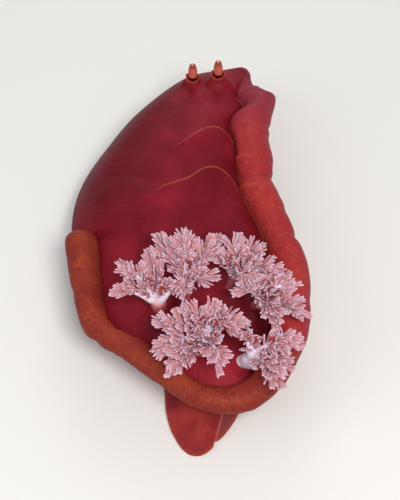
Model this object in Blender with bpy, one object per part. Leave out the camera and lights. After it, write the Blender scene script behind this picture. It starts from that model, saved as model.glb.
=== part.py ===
"""Spanish dancer nudibranch crawling on its sole, its mantle edge rolled up over its back.

Metres, +Z up. +Y points to the head and +X to the animal's right. The origin lies on the floor
under the middle of the sole. Plans are drawn on a straight body, as (across, along), and bend()
then gives them the curve of the living animal.
"""

import math

import bmesh
import bpy
from mathutils import Vector
from mathutils.bvhtree import BVHTree

MM = 0.001
GAP = 0.3 * MM
MERGE = 0.005 * MM
UP = Vector((0.0, 0.0, 1.0))

# Kinds of flesh: name, colour in linear light, roughness, gloss of the wet coat
FLESHES = (
    ("mantle", (0.33, 0.016, 0.024), 0.38, 0.3),
    ("mantle_edge", (0.46, 0.065, 0.028), 0.36, 0.3),
    ("foot", (0.36, 0.035, 0.026), 0.4, 0.25),
    ("gill", (0.62, 0.36, 0.47), 0.42, 0.2),
    ("rhinophore", (0.42, 0.05, 0.03), 0.4, 0.2),
)

# Bend of the body axis to the animal's left, deepest ahead of the middle
BEND_BASE = 8 * MM
BEND_DEPTH = 26 * MM
BEND_CENTRE = 20 * MM
BEND_SPAN = 70 * MM

# Mantle edge from the front, over the right side, the rear and the left side, in millimetres:
# across, along, height of the roll's centre, radius of the roll
MANTLE_EDGE = (
    (0, 106, 30.5, 5.0),
    (9, 108, 32, 4.8),
    (14, 103, 34, 4.8),
    (16, 95.5, 36, 5.2),
    (19, 89, 37.5, 5.8),
    (25, 84, 38.5, 7.2),
    (32, 78.5, 39.5, 9.2),
    (33.5, 71, 40.5, 9.8),
    (33, 61.5, 41.5, 12.0),
    (38.5, 46, 41.5, 10.6),
    (44, 31, 42, 11.6),
    (47.8, 15, 42, 9.8),
    (51, 2, 42, 11.0),
    (54.5, -13, 42, 10.4),
    (57, -36, 42, 10.8),
    (55, -54, 42, 11.0),
    (51.8, -78, 41, 10.6),
    (47, -93, 39.5, 10.0),
    (40, -109, 37, 8.8),
    (26, -122.5, 34.5, 7.8),
    (5, -124, 33.5, 7.2),
    (-14.7, -113.5, 33.5, 7.4),
    (-36.6, -99.5, 34.5, 7.6),
    (-56.3, -89, 36.5, 7.8),
    (-62.8, -66, 39.5, 8.3),
    (-63.5, -42, 40, 8.6),
    (-61, -24, 27, 6.5),
    (-57, 8, 19, 5.0),
    (-49, 42, 18, 5.0),
    (-41, 72, 21.5, 5.3),
    (-22, 97, 28.5, 5.4),
)
PLAN_HALF_WIDTH = 60 * MM
PLAN_HALF_LENGTH = 125 * MM
AXIS_HALF_LENGTH = 80 * MM
SPOKES = 72

# Section of the roll, as angles from straight outwards, over its top
ROLL_CREASE = math.radians(215)
RIM_CREASE = math.radians(175)
ROLL_RADIUS = 9 * MM
RIM_RADIUS = 5.5 * MM
ROLL_UNDERSIDE = math.radians(-100)
ROLL_STEPS = 12

# Each length of the mantle edge and the angle where it starts, in degrees from the front
EDGE_LENGTHS = (
    ("front", -22),
    ("right_front", 22),
    ("right", 72),
    ("right_rear", 112),
    ("rear", 148),
    ("left_rear", 205),
    ("left", 237),
    ("left_front", 258),
)

# Back: height of its crown along the body, in millimetres as (along, height)
CROWN = (
    (-125, 35),
    (-100, 38),
    (-80, 40.5),
    (-50, 43),
    (-20, 46.5),
    (20, 48),
    (60, 46),
    (95, 41),
    (125, 33),
)
BACK_RINGS = 7
BACK_FALL = 4
BACK_UNDERSIDE = 24 * MM
FLAT_SHARE = 0.66
FLAT_SHARE_FRONT = 0.14
BACK_CUTS = (-41.7 * MM, 52.3 * MM)

# Folds across the back, in millimetres: centre across, crest along, height, bow
FOLDS = ((23, 17, 4.5, 0.016), (18, 48, 4.5, 0.03), (13, 90, 3.0, 0.02))
FOLD_REAR_SLOPE = 14 * MM
FOLD_FRONT_SLOPE = 6 * MM
FOLD_SPREAD = 34 * MM

# Trunk, whose half width grows from its ends to its middle, and the flat share of its top
BODY_FRONT = 78 * MM
BODY_REAR = -100 * MM
BODY_HALF_WIDTH = 33 * MM
BODY_END_SHARE = 0.82
BODY_SWELL_POWER = 0.7
BODY_STEPS = 14
FLANK_SOLE_SHARE = 0.9
FLANK_TOP_SHARE = 0.93

# Head, which lies to the left under the front of the mantle and slopes down ahead
HEAD_FRONT = 106 * MM
HEAD_HALF_WIDTH = 24 * MM
HEAD_SHIFT = -5 * MM
HEAD_SHIFT_RUN = 14 * MM
HEAD_ROUNDING = 2.6
HEAD_STEPS = 7
HEAD_END = 0.97
HEAD_SLOPE = 9 * MM
HEAD_SLOPE_FROM = 0.3
HEAD_TOP_NARROWING = 0.35
CHIN_DROP = 3 * MM
CHIN_FROM = 0.85

# Foot and tail: outline of the rim as (along, half width to the left, to the right)
FOOT_TOP = 8 * MM
FOOT_TOP_SLOPE = 0.5
FOOT_TOP_SHARE = 0.86
FOOT_FRONT = 100 * MM
FOOT_HALF_WIDTH = 37 * MM
FOOT_RIM = 2.5 * MM
FOOT_STEPS = 16
FOOT_END = 0.96
SOLE_INSET = 1 * MM
FOOT_EDGE = (
    (-144.6, 1.0, 5.4),
    (-141.5, 5.2, 9.6),
    (-136.5, 9.4, 13.0),
    (-130, 13.2, 17.6),
    (-120, 16.6, 23.0),
    (-108, 18.6, 27.0),
    (-92, 22.5, 31.0),
    (-60, 32.0, 35.5),
    (-30, 36.0, 37.0),
    (0, 37.0, 37.0),
)
TAIL_STEPS = 9
TAIL_HEIGHT = 20 * MM
TAIL_FALL = 0.8

# Section of the tail, as shares of its half width and height; its ridge is on the right
TAIL_SECTION = (
    (0.55, 0.84),
    (0.3, 1.0),
    (-0.2, 0.84),
    (-0.65, 0.55),
)
TAIL_SOLE_SHARE = 0.94

# Mouth
LIP_RING = 4.2 * MM
LIP_THICKNESS = 1.7 * MM
LIP_STEPS = 12
LIP_SIDES = 6
LIP_DEPTH = 1.5 * MM
MOUTH_HEIGHT = 10.5 * MM

# Oral tentacles: a stub on the head, then a flap as (distance, drop) in millimetres with its
# width and thickness as shares of the root, and lobes along its end
TENTACLE_BEARING = math.radians(96)
TENTACLE_SIDE = 12 * MM
TENTACLE_ALONG = 86 * MM
TENTACLE_HEIGHT = 12.5 * MM
TENTACLE_STUB = 14 * MM
TENTACLE_ROOT = 7 * MM
TENTACLE_SIDES = 8
STUB_WIDTHS = (1.15, 1.0)
STUB_DEPTHS = (0.7, 0.6)
FLAP_RUN = ((0, 0), (1.2, 0), (4, 1), (8, 2.5))
FLAP_WIDTHS = (1.0, 1.2, 1.8, 1.9)
FLAP_DEPTHS = (0.6, 0.55, 0.42, 0.24)
TENTACLE_LOBES = 5
LOBE_LENGTH = 6.6 * MM
LOBE_SIDES = 6
LOBE_DROP = 1.5 * MM
LOBE_FAN = 0.9
LOBE_ROW = 0.8
LOBE_START = 0.55
LOBE_SHORTENING = 0.73
LOBE_RUN = (0.0, 0.55, 1.0)
LOBE_WIDTHS = (3.1 * MM, 3.8 * MM, 1.8 * MM)
LOBE_DEPTHS = (1.4 * MM, 1.4 * MM, 0.8 * MM)

# Rhinophores: ringed clubs on the axis of the head, each in a sheath
RHINOPHORES = (("left", -15 * MM), ("right", 1 * MM))
RHINOPHORE_ALONG = 90 * MM
RHINOPHORE_HEIGHT = 17 * MM
RHINOPHORE_RADIUS = 2.3 * MM
CLUB_SIDES = 8
LAMELLAE = 6
STALK_SHARE = 0.35
STALK_WIDTH = 0.65
CLUB_SWELL = 0.4
CLUB_SWELL_POWER = 0.8
CLUB_SWELL_FROM = 0.1
RING_GROOVE = 0.82
TIP_FROM = 0.55
TIP_RUN = 0.46
TIP_ROUNDING = 2.5
TIP_LEAST = 0.02
SHEATH_RADIUS = 4.8 * MM
SHEATH_HEIGHT = 4.5 * MM
SHEATH_SIDES = 16
SHEATH_WAVES = 4
SHEATH_WAVE_HEIGHT = 0.1
SHEATH_WAVE_WIDTH = 0.05
SHEATH_BOSS = 0.6 * MM
# Section of the sheath's wall, as shares of its radius and height
SHEATH_SECTION = (
    (1.0, 0.0),
    (1.04, 0.6),
    (0.98, 1.0),
    (0.8, 0.96),
    (0.66, 0.5),
    (0.66, 0.0),
)

# Gills: base across and along the ground, then the bearing of each frond in degrees from the
# head, clockwise, and its reach in millimetres
GILLS = (
    ((-17, -77), (-114, -68, -22, 43), (25, 25, 23, 12)),
    ((-3, -69), (-35, -8, 26, 75), (35, 35, 36, 17)),
    ((20, -60), (-17, 11, 44, 85, 117), (16, 26, 26, 29, 18)),
    ((35, -69), (50, 85, 114, 148), (8, 23, 32, 28)),
    ((32, -102), (62, 91, 119, 139), (9, 30, 29, 32)),
    ((13, -95), (-149, -128, -93, -62, -4, 50, 85, 165), (37, 35, 30, 18, 14, 16, 20, 29)),
)
GILL_TOP = 61 * MM
GILL_TRUNK = 7 * MM
GILL_TRUNK_RADIUS = 3.6 * MM
GILL_TRUNK_WIDTHS = (2.0, 2.2, 1.7)
GILL_TRUNK_SIDES = 10
FROND_STEPS = 4
FROND_WIDTH = 3.4 * MM
FROND_WIDTHS = (1.5, 1.1, 0.85, 0.65, 0.4)
FROND_SIDES = 5
FROND_ROOT = 0.7
FROND_ARCH = 0.8
FROND_LIFTS = (0, 3 * MM, -2 * MM)
LEAFLET_LENGTH = 9.5 * MM
LEAFLET_WIDTH = 5.6 * MM
LEAFLET_THICKNESS = 1.6 * MM
LEAFLET_SIDES = 4
END_LEAFLET = 4.5 * MM
LEAFLET_PITCH = 9.6 * MM
LEAFLET_SPREAD = math.radians(52)
LEAFLET_LIFT = math.radians(30)
LEAFLET_CURL = 0.22
LEAFLET_CLEARANCE = 1.2 * MM
LEAFLET_WIDTHS = (0.6, 1.0, 0.25)
LEAFLET_DEPTHS = (0.9, 1.0, 0.4)
LEAFLET_CUTS = (1.0, 0.85, 0.7, 0.55, 0.42)
LEAFLET_SHORTENING = 0.3
FIRST_LEAFLET = 0.3
LAST_LEAFLET = 0.92
END_LEAFLET_SHARE = 0.97
LEAFLET_STAGGER = 0.3
COLLAR_RADIUS = 6 * MM
COLLAR_HEIGHT = 0.8 * MM
COLLAR_ROOT = 5 * MM
COLLAR_FLARE = 1.25
COLLAR_SIDES = 14
SEAT_CASTS = 8
CAST_FROM = 1.0
PAPILLA = (18 * MM, -77 * MM)
PAPILLA_HEIGHT = 5 * MM
PAPILLA_RADIUS = 2.6 * MM
PAPILLA_BOSS = 1 * MM
PAPILLA_SIDES = 10
# Section of the papilla, as shares of its height and radius; its tip is dimpled
PAPILLA_SECTION = ((0, 1), (0.5, 0.8), (0.9, 0.72), (1.0, 0.5), (0.8, 0.25))


def clear_scene():
    """Take away whatever the file starts with."""
    for old in list(bpy.data.objects):
        bpy.data.objects.remove(old, do_unlink=True)


def finish(name, colour, roughness, coat):
    """Material of one kind of flesh."""
    material = bpy.data.materials.new(name)
    material.use_nodes = True
    shader = material.node_tree.nodes["Principled BSDF"]
    shader.inputs["Base Color"].default_value = (*colour, 1.0)
    shader.inputs["Roughness"].default_value = roughness
    shader.inputs["Metallic"].default_value = 0.0
    shader.inputs["Coat Weight"].default_value = coat
    return material


def mesh_object(name, mesh, material):
    """Object of a bmesh, its faces turned outwards and cut into triangles."""
    bmesh.ops.recalc_face_normals(mesh, faces=mesh.faces)
    bmesh.ops.triangulate(mesh, faces=mesh.faces)
    data = bpy.data.meshes.new(name)
    mesh.to_mesh(data)
    mesh.free()
    data.materials.append(material)
    data.shade_smooth()
    made = bpy.data.objects.new(name, data)
    bpy.context.scene.collection.objects.link(made)
    return made


def sheet(rows, wrap):
    """Surface through rows of points, laid on a grid; wrap joins each row's end to its start."""
    mesh = bmesh.new()
    rings = [row + row[:1] for row in rows] if wrap else rows
    columns = len(rings[0])
    grid = bmesh.ops.create_grid(mesh, x_segments=columns - 1, y_segments=len(rings) - 1, size=1.0)
    points = [point for ring in rings for point in ring]
    for vert, point in zip(grid["verts"], points):
        vert.co = point
    bmesh.ops.remove_doubles(mesh, verts=mesh.verts, dist=MERGE)
    return mesh


def closed_loft(rows):
    """Closed body through rings of points, with a flat cap at either end that is open."""
    mesh = sheet(rows, wrap=True)
    bmesh.ops.holes_fill(mesh, edges=[edge for edge in mesh.edges if edge.is_boundary])
    return mesh


def limb(path, widths, depths, sides, across):
    """Tapered limb along a path, with oval sections whose width lies along `across`."""
    rows = []
    for index, point in enumerate(path):
        ahead = path[min(index + 1, len(path) - 1)] - path[max(index - 1, 0)]
        ahead.normalize()
        side = (across - ahead * across.dot(ahead)).normalized()
        rise = side.cross(ahead)
        ring = []
        for step in range(sides):
            turn = math.tau * step / sides
            ring.append(
                point
                + side * (math.cos(turn) * widths[index] / 2)
                + rise * (math.sin(turn) * depths[index] / 2)
            )
        rows.append(ring)
    return closed_loft(rows)


def fuse(base, pieces):
    """Join pieces to a base as one closed body, and keep its largest closed surface."""
    group = bpy.data.collections.new(base.name + "_pieces")
    bpy.context.scene.collection.children.link(group)
    for piece in pieces:
        group.objects.link(piece)
    union = base.modifiers.new("union", "BOOLEAN")
    union.operation = "UNION"
    union.solver = "MANIFOLD"
    union.operand_type = "COLLECTION"
    union.collection = group
    apply_modifiers(base)
    for piece in pieces:
        bpy.data.objects.remove(piece, do_unlink=True)
    bpy.data.collections.remove(group)
    keep_largest(base)


def apply_modifiers(target):
    """Put what the modifiers make into the object's own mesh."""
    graph = bpy.context.evaluated_depsgraph_get()
    data = bpy.data.meshes.new_from_object(target.evaluated_get(graph))
    target.modifiers.clear()
    target.data = data


def keep_largest(target):
    """Drop every closed surface but the one with most faces."""
    mesh = bmesh.new()
    mesh.from_mesh(target.data)
    left = set(mesh.faces)
    surfaces = []
    while left:
        found = {left.pop()}
        front = list(found)
        while front:
            for edge in front.pop().edges:
                for face in edge.link_faces:
                    if face in left:
                        left.discard(face)
                        found.add(face)
                        front.append(face)
        surfaces.append(found)
    largest = max(surfaces, key=len)
    loose = [face for surface in surfaces if surface is not largest for face in surface]
    bmesh.ops.delete(mesh, geom=loose, context="FACES")
    bmesh.ops.triangulate(mesh, faces=mesh.faces)
    mesh.to_mesh(target.data)
    mesh.free()


def cubic(places, values, place):
    """Value at a place on a smooth curve through values at rising places."""
    last = len(places) - 2
    index = max(i for i in range(last + 1) if i == 0 or places[i] <= place)
    span = places[index + 1] - places[index]
    share = (place - places[index]) / span

    def slope(i):
        low, high = max(i - 1, 0), min(i + 1, last + 1)
        return (values[high] - values[low]) / (places[high] - places[low]) * span

    start, end = values[index], values[index + 1]
    return (
        start * (1 + 2 * share) * (1 - share) ** 2
        + slope(index) * share * (1 - share) ** 2
        + end * share * share * (3 - 2 * share)
        + slope(index + 1) * share * share * (share - 1)
    )


def bend(across, along):
    """Ground position of a point of the straight plan."""
    shift = BEND_DEPTH * math.exp(-(((along - BEND_CENTRE) / BEND_SPAN) ** 2))
    return across + BEND_BASE - shift


def edge_table():
    """Stations of the mantle edge by angle from the front, run past a full turn both ways."""
    rows = []
    for across, along, height, radius in MANTLE_EDGE:
        turn = math.atan2(across * MM / PLAN_HALF_WIDTH, along * MM / PLAN_HALF_LENGTH)
        rows.append((turn % math.tau, Vector((across, along, height, radius)) * MM))
    before = [(turn - math.tau, row) for turn, row in rows[-2:]]
    after = [(turn + math.tau, row) for turn, row in rows[:3]]
    return before + rows + after


EDGE_TABLE = edge_table()
EDGE_TURNS = [turn for turn, row in EDGE_TABLE]
EDGE_ROWS = [row for turn, row in EDGE_TABLE]


def edge_at(turn):
    """Roll centre across and along, its height and its radius at an angle."""
    return cubic(EDGE_TURNS, EDGE_ROWS, turn % math.tau)


def fold_rise(across, along):
    """Height that the cross folds add to the back."""
    rise = 0.0
    for centre, crest, height, bow in FOLDS:
        offset = across - centre * MM
        past = along - crest * MM + bow / MM * offset * offset
        slope = FOLD_FRONT_SLOPE if past > 0 else FOLD_REAR_SLOPE
        fade = math.exp(-((offset / FOLD_SPREAD) ** 2)) if offset < 0 else 1.0
        rise += height * MM * fade * math.exp(-((past / slope) ** 2))
    return rise


def crown_height(along):
    """Height of the back on its middle line."""
    places = [place * MM for place, height in CROWN]
    heights = [height * MM for place, height in CROWN]
    return cubic(places, heights, along)


class Spoke:
    """Upright half plane from the body axis out through the mantle edge at one angle."""

    def __init__(self, turn):
        self.across, self.along, self.height, self.radius = edge_at(turn)
        self.root = AXIS_HALF_LENGTH * math.cos(turn)
        self.reach = math.hypot(self.across, self.along - self.root)
        self.flat = self.reach * (FLAT_SHARE + FLAT_SHARE_FRONT * max(math.cos(turn), 0) ** 2)
        curl = min(max((self.radius - RIM_RADIUS) / (ROLL_RADIUS - RIM_RADIUS), 0.0), 1.0)
        self.crease = RIM_CREASE + (ROLL_CREASE - RIM_CREASE) * curl

    def place(self, out, height):
        """Point at a distance out along the spoke."""
        share = out / self.reach
        along = self.root + (self.along - self.root) * share
        return Vector((bend(self.across * share, along), along, height))

    def on_roll(self, turn, outwards=0.0):
        """Point on the roll's section."""
        out = self.reach + self.radius * math.cos(turn) + outwards
        return self.place(out, self.height + self.radius * math.sin(turn))

    def back(self):
        """Chain of the back's section, from the axis over the top to the axis below."""
        crease_out = self.reach + self.radius * math.cos(self.crease)
        crease_height = self.height + self.radius * math.sin(self.crease)
        chain = []
        for ring in range(BACK_RINGS + 1):
            share = ring / BACK_RINGS
            out = crease_out * share
            along = self.root + (self.along - self.root) * out / self.reach
            across = self.across * out / self.reach
            crown = crown_height(along) + fold_rise(across, along)
            chain.append(self.place(out, crown + (crease_height - crown) * share**BACK_FALL))
        chain.append(self.on_roll(ROLL_UNDERSIDE))
        chain.append(self.place(self.flat, BACK_UNDERSIDE))
        chain.append(self.place(0.0, BACK_UNDERSIDE))
        return chain

    def roll(self):
        """Ring of the roll's section, a gap outside the back."""
        ring = []
        for step in range(ROLL_STEPS + 1):
            turn = self.crease + (ROLL_UNDERSIDE - self.crease) * step / ROLL_STEPS
            ring.append(self.on_roll(turn, GAP if step in (0, ROLL_STEPS) else 0.0))
        return ring


def between(first, second, share):
    """Ring a share of the way from one ring to the next."""
    return [a.lerp(b, share) for a, b in zip(first, second)]


def slab(mesh, low, high):
    """Copy of a closed mesh between two planes across the body, capped."""
    part = mesh.copy()
    for place, normal in ((low, -1), (high, 1)):
        if place is None:
            continue
        cut = bmesh.ops.bisect_plane(
            part,
            geom=part.verts[:] + part.edges[:] + part.faces[:],
            dist=MERGE,
            plane_co=(0, place, 0),
            plane_no=(0, normal, 0),
            clear_outer=True,
        )
        edges = [item for item in cut["geom_cut"] if isinstance(item, bmesh.types.BMEdge)]
        bmesh.ops.edgeloop_fill(part, edges=edges)
    return part


def build_back(spokes, material):
    """Back of the mantle in three lengths."""
    whole = sheet([spoke.back() for spoke in spokes + spokes[:1]], wrap=False)
    low, high = BACK_CUTS
    lengths = (
        ("mantle_back_rear", None, low - GAP / 2),
        ("mantle_back_middle", low + GAP / 2, high - GAP / 2),
        ("mantle_back_front", high + GAP / 2, None),
    )
    made = [mesh_object(name, slab(whole, start, end), material) for name, start, end in lengths]
    whole.free()
    return made


def build_edge(spokes, material):
    """Rolled mantle edge, in lengths that meet face to face."""
    rings = [spoke.roll() for spoke in spokes]
    starts = [round(angle / 360 * SPOKES) for name, angle in EDGE_LENGTHS]
    ends = starts[1:] + [starts[0] + SPOKES]
    for (name, angle), start, end in zip(EDGE_LENGTHS, starts, ends):
        row = [rings[index % SPOKES] for index in range(start, end + 1)]
        first_gap = (GAP + MERGE) / (row[1][ROLL_STEPS // 2] - row[0][ROLL_STEPS // 2]).length
        last_gap = (GAP + MERGE) / (row[-2][ROLL_STEPS // 2] - row[-1][ROLL_STEPS // 2]).length
        row[0] = between(row[0], row[1], first_gap)
        row[-1] = between(row[-1], row[-2], last_gap)
        mesh_object("mantle_edge_" + name, closed_loft(row), material)


def trunk_ring(along, half_width, low, high, top_share, shift=0.0):
    """Section of the trunk or head between two heights."""
    middle = (low + high) / 2
    outline = (
        (-FLANK_SOLE_SHARE, low),
        (FLANK_SOLE_SHARE, low),
        (1.0, middle),
        (top_share, high),
        (-top_share, high),
        (-1.0, middle),
    )
    return [Vector((bend(half_width * share + shift, along), along, z)) for share, z in outline]


def build_body(material):
    """Trunk between the foot and the mantle's back."""
    rows = []
    length = BODY_FRONT - BODY_REAR
    for step in range(BODY_STEPS + 1):
        along = BODY_REAR + GAP / 2 + (length - GAP) * step / BODY_STEPS
        swell = math.sin(math.pi * (along - BODY_REAR) / length) ** BODY_SWELL_POWER
        half_width = BODY_HALF_WIDTH * (BODY_END_SHARE + (1 - BODY_END_SHARE) * swell)
        low, high = FOOT_TOP + GAP, BACK_UNDERSIDE - GAP
        rows.append(trunk_ring(along, half_width, low, high, FLANK_TOP_SHARE))
    return mesh_object("body", closed_loft(rows), material)


def beyond(value, start, end=1.0):
    """Share of the way that a value has gone from a start to an end."""
    return max(value - start, 0.0) / (end - start)


def lips(material):
    """Ring of flesh round the mouth."""
    centre = Vector((bend(HEAD_SHIFT, HEAD_FRONT), HEAD_FRONT - LIP_DEPTH, MOUTH_HEIGHT))
    rings = []
    for step in range(LIP_STEPS):
        turn = math.tau * step / LIP_STEPS
        out = Vector((math.cos(turn), 0, math.sin(turn)))
        ring = []
        for side in range(LIP_SIDES):
            angle = math.tau * side / LIP_SIDES
            swell = out * (LIP_RING + LIP_THICKNESS * math.cos(angle))
            ring.append(centre + swell + Vector((0, LIP_THICKNESS * math.sin(angle), 0)))
        rings.append(ring)
    return mesh_object("lips", sheet(rings + rings[:1], wrap=True), material)


def build_head(material):
    """Head under the front of the mantle, with lips and the stubs of the oral tentacles."""
    rows = []
    start = BODY_FRONT + GAP / 2
    for step in range(HEAD_STEPS + 1):
        share = math.sin(math.pi / 2 * step / HEAD_STEPS * HEAD_END)
        along = start + (HEAD_FRONT - start) * share
        half_width = HEAD_HALF_WIDTH * math.sqrt(1 - share**HEAD_ROUNDING)
        low = FOOT_TOP + GAP - CHIN_DROP * beyond(share, CHIN_FROM)
        high = BACK_UNDERSIDE - GAP - HEAD_SLOPE * beyond(share, HEAD_SLOPE_FROM)
        top_share = FLANK_TOP_SHARE - HEAD_TOP_NARROWING * share
        shift = HEAD_SHIFT * min((along - start) / HEAD_SHIFT_RUN, 1.0)
        rows.append(trunk_ring(along, half_width, low, high, top_share, shift))
    head = mesh_object("head", closed_loft(rows), material)
    fuse(head, [lips(material), tentacle_stub(-1, material), tentacle_stub(1, material)])


def foot_sides(along):
    """Half widths of the foot's and tail's rim, to the left and to the right."""
    if along > 0:
        half = FOOT_HALF_WIDTH * math.sqrt(max(1 - (along / FOOT_FRONT) ** 4, 0.0))
        return half, half
    places = [place * MM for place, left, right in FOOT_EDGE]
    sides = cubic(places, [Vector((left, right)) * MM for place, left, right in FOOT_EDGE], along)
    return sides.x, sides.y


def foot_ring(along, top):
    """Section of the foot, a flat sole with a thin rim."""
    left, right = foot_sides(along)
    outline = (
        (SOLE_INSET - left, 0.0),
        (right - SOLE_INSET, 0.0),
        (right, FOOT_RIM),
        (right * FOOT_TOP_SHARE, top),
        (-left * FOOT_TOP_SHARE, top),
        (-left, FOOT_RIM),
    )
    return [Vector((bend(across, along), along, z)) for across, z in outline]


def build_foot(material):
    """Broad foot from under the head to the tail."""
    rows = []
    rear = BODY_REAR + GAP / 2
    for step in range(FOOT_STEPS + 1):
        share = math.sin(math.pi / 2 * step / FOOT_STEPS * FOOT_END)
        along = rear + (FOOT_FRONT - rear) * share
        top = min(FOOT_TOP, FOOT_RIM + FOOT_TOP_SLOPE * foot_sides(along)[1])
        rows.append(foot_ring(along, top))
    return mesh_object("foot", closed_loft(rows), material)


def build_tail(material):
    """Rear end of the foot, a rounded triangle with a ridge on its right side."""
    rows = []
    start = BODY_REAR - GAP / 2
    tip = FOOT_EDGE[0][0] * MM
    for step in range(TAIL_STEPS + 1):
        share = 1 - (1 - step / TAIL_STEPS) ** 2
        along = start + (tip - start) * share
        left, right = foot_sides(along)
        centre, half_width = bend((right - left) / 2, along), (left + right) / 2
        height = FOOT_RIM + (TAIL_HEIGHT - FOOT_RIM) * (1 - share) ** TAIL_FALL
        rim = min(FOOT_RIM, height / 2)
        outline = [(-TAIL_SOLE_SHARE, 0.0), (TAIL_SOLE_SHARE, 0.0), (1.0, rim)]
        outline += [(place, height * level) for place, level in TAIL_SECTION]
        outline.append((-1.0, rim))
        rows.append([Vector((centre + half_width * x, along, z)) for x, z in outline])
    return mesh_object("tail", closed_loft(rows), material)


def tentacle_run(side):
    """Start, end and direction of the stub that carries an oral tentacle."""
    ahead = Vector((side * math.sin(TENTACLE_BEARING), math.cos(TENTACLE_BEARING), 0.0))
    across = bend(HEAD_SHIFT + side * TENTACLE_SIDE, TENTACLE_ALONG)
    start = Vector((across, TENTACLE_ALONG, TENTACLE_HEIGHT))
    return start, start + ahead * TENTACLE_STUB, ahead


def tentacle_stub(side, material):
    """Short root of an oral tentacle, which grows from the head."""
    start, end, ahead = tentacle_run(side)
    widths = [TENTACLE_ROOT * share for share in STUB_WIDTHS]
    depths = [TENTACLE_ROOT * share for share in STUB_DEPTHS]
    shape = limb([start, end], widths, depths, TENTACLE_SIDES, ahead.cross(UP))
    return mesh_object("stub", shape, material)


def tentacle_lobes(ahead, across, start, width, material):
    """Fan of small lobes along the end of a flap."""
    lobes = []
    for lobe in range(TENTACLE_LOBES):
        spread = lobe / (TENTACLE_LOBES - 1) - 0.5
        out = (ahead + across * spread * LOBE_FAN).normalized()
        root = start + across * spread * width * LOBE_ROW
        length = LOBE_LENGTH * (1 - LOBE_SHORTENING * spread * spread)
        line = [root + out * length * run - UP * LOBE_DROP * run * run for run in LOBE_RUN]
        shape = limb(line, LOBE_WIDTHS, LOBE_DEPTHS, LOBE_SIDES, across)
        lobes.append(mesh_object("lobe", shape, material))
    return lobes


def build_oral_tentacles(material):
    """Broad flat flaps with lobed edges at both sides of the head."""
    for name, side in (("left", -1), ("right", 1)):
        end, ahead = tentacle_run(side)[1:]
        across = ahead.cross(UP)
        root = end + ahead * GAP
        path = [root + (ahead * out - UP * drop) * MM for out, drop in FLAP_RUN]
        widths = [TENTACLE_ROOT * share for share in FLAP_WIDTHS]
        depths = [TENTACLE_ROOT * share for share in FLAP_DEPTHS]
        shape = limb(path, widths, depths, TENTACLE_SIDES, across)
        flap = mesh_object("oral_tentacle_" + name, shape, material)
        start = path[2].lerp(path[3], LOBE_START)
        fuse(flap, tentacle_lobes(ahead, across, start, widths[3], material))


def seat_height(tree, x, y, radius):
    """Height of a flat seat that clears the back all round a ground point."""
    heights = []
    for step in range(SEAT_CASTS):
        turn = math.tau * step / SEAT_CASTS
        start = Vector((x + radius * math.cos(turn), y + radius * math.sin(turn), CAST_FROM))
        heights.append(tree.ray_cast(start, -UP)[0].z)
    return max(heights) + COLLAR_HEIGHT


def boss(x, y, height, radius, material):
    """Low round collar with a flat top, rooted in the back."""
    path = [Vector((x, y, height - COLLAR_ROOT)), Vector((x, y, height))]
    widths = [2 * radius * COLLAR_FLARE, 2 * radius]
    ring = limb(path, widths, widths, COLLAR_SIDES, Vector((1, 0, 0)))
    return mesh_object("collar", ring, material)


def build_club(name, x, y, ground, material):
    """Ringed club of a rhinophore on its stalk."""
    path = []
    widths = []
    steps = 2 * LAMELLAE + 3
    for step in range(steps + 1):
        share = step / steps
        path.append(Vector((x, y, ground + GAP + RHINOPHORE_HEIGHT * share)))
        run = min(max(share - CLUB_SWELL_FROM, 0.0), 1.0)
        swell = math.sin(math.pi * run) ** CLUB_SWELL_POWER
        ring = RING_GROOVE if step % 2 and share > STALK_SHARE else 1.0
        tip = (max(share - TIP_FROM, 0.0) / TIP_RUN) ** TIP_ROUNDING
        taper = math.sqrt(max(1 - tip, TIP_LEAST))
        widths.append(2 * RHINOPHORE_RADIUS * ring * taper * (STALK_WIDTH + CLUB_SWELL * swell))
    shape = limb(path, widths, widths, CLUB_SIDES, Vector((1, 0, 0)))
    mesh_object("rhinophore_" + name, shape, material)


def build_sheath(name, x, y, ground, material):
    """Low sheath round a rhinophore, with a wavy rim."""
    rings = []
    for step in range(SHEATH_SIDES):
        turn = math.tau * step / SHEATH_SIDES
        wave = math.cos(turn * SHEATH_WAVES)
        ring = []
        for share, level in SHEATH_SECTION:
            out = SHEATH_RADIUS * share * (1 + SHEATH_WAVE_WIDTH * level * wave)
            height = ground + GAP + SHEATH_HEIGHT * level * (1 + SHEATH_WAVE_HEIGHT * wave)
            ring.append(Vector((x + out * math.cos(turn), y + out * math.sin(turn), height)))
        rings.append(ring)
    mesh_object("rhinophore_sheath_" + name, sheet(rings + rings[:1], wrap=True), material)


def build_papilla(x, y, ground, material):
    """Anal papilla, a short cone with a dimpled tip."""
    rows = []
    for level, share in PAPILLA_SECTION:
        centre = Vector((x, y, ground + GAP + PAPILLA_HEIGHT * level))
        turns = [math.tau * step / PAPILLA_SIDES for step in range(PAPILLA_SIDES)]
        radius = PAPILLA_RADIUS * share
        rows.append([centre + Vector((math.cos(t), math.sin(t), 0)) * radius for t in turns])
    mesh_object("anal_papilla", closed_loft(rows), material)


class Frond:
    """Arched midline of one frond, from the top of the gill's trunk to its tip."""

    def __init__(self, base, bearing, reach, lift):
        ahead = Vector((math.sin(bearing), math.cos(bearing), 0.0))
        low = base + UP * (GILL_TRUNK * FROND_ROOT)
        rise = GILL_TOP + lift - low.z
        self.across = Vector((math.cos(bearing), -math.sin(bearing), 0.0))
        self.path = []
        for step in range(FROND_STEPS + 1):
            share = step / FROND_STEPS
            arch = math.sin(math.pi / 2 * share**FROND_ARCH)
            self.path.append(low + ahead * (reach * share) + UP * (rise * arch))

    def at(self, share):
        """Point and direction at a share of the way to the tip."""
        place = share * FROND_STEPS
        index = min(int(place), FROND_STEPS - 1)
        start, end = self.path[index], self.path[index + 1]
        return start.lerp(end, place - index), (end - start).normalized()


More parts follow.
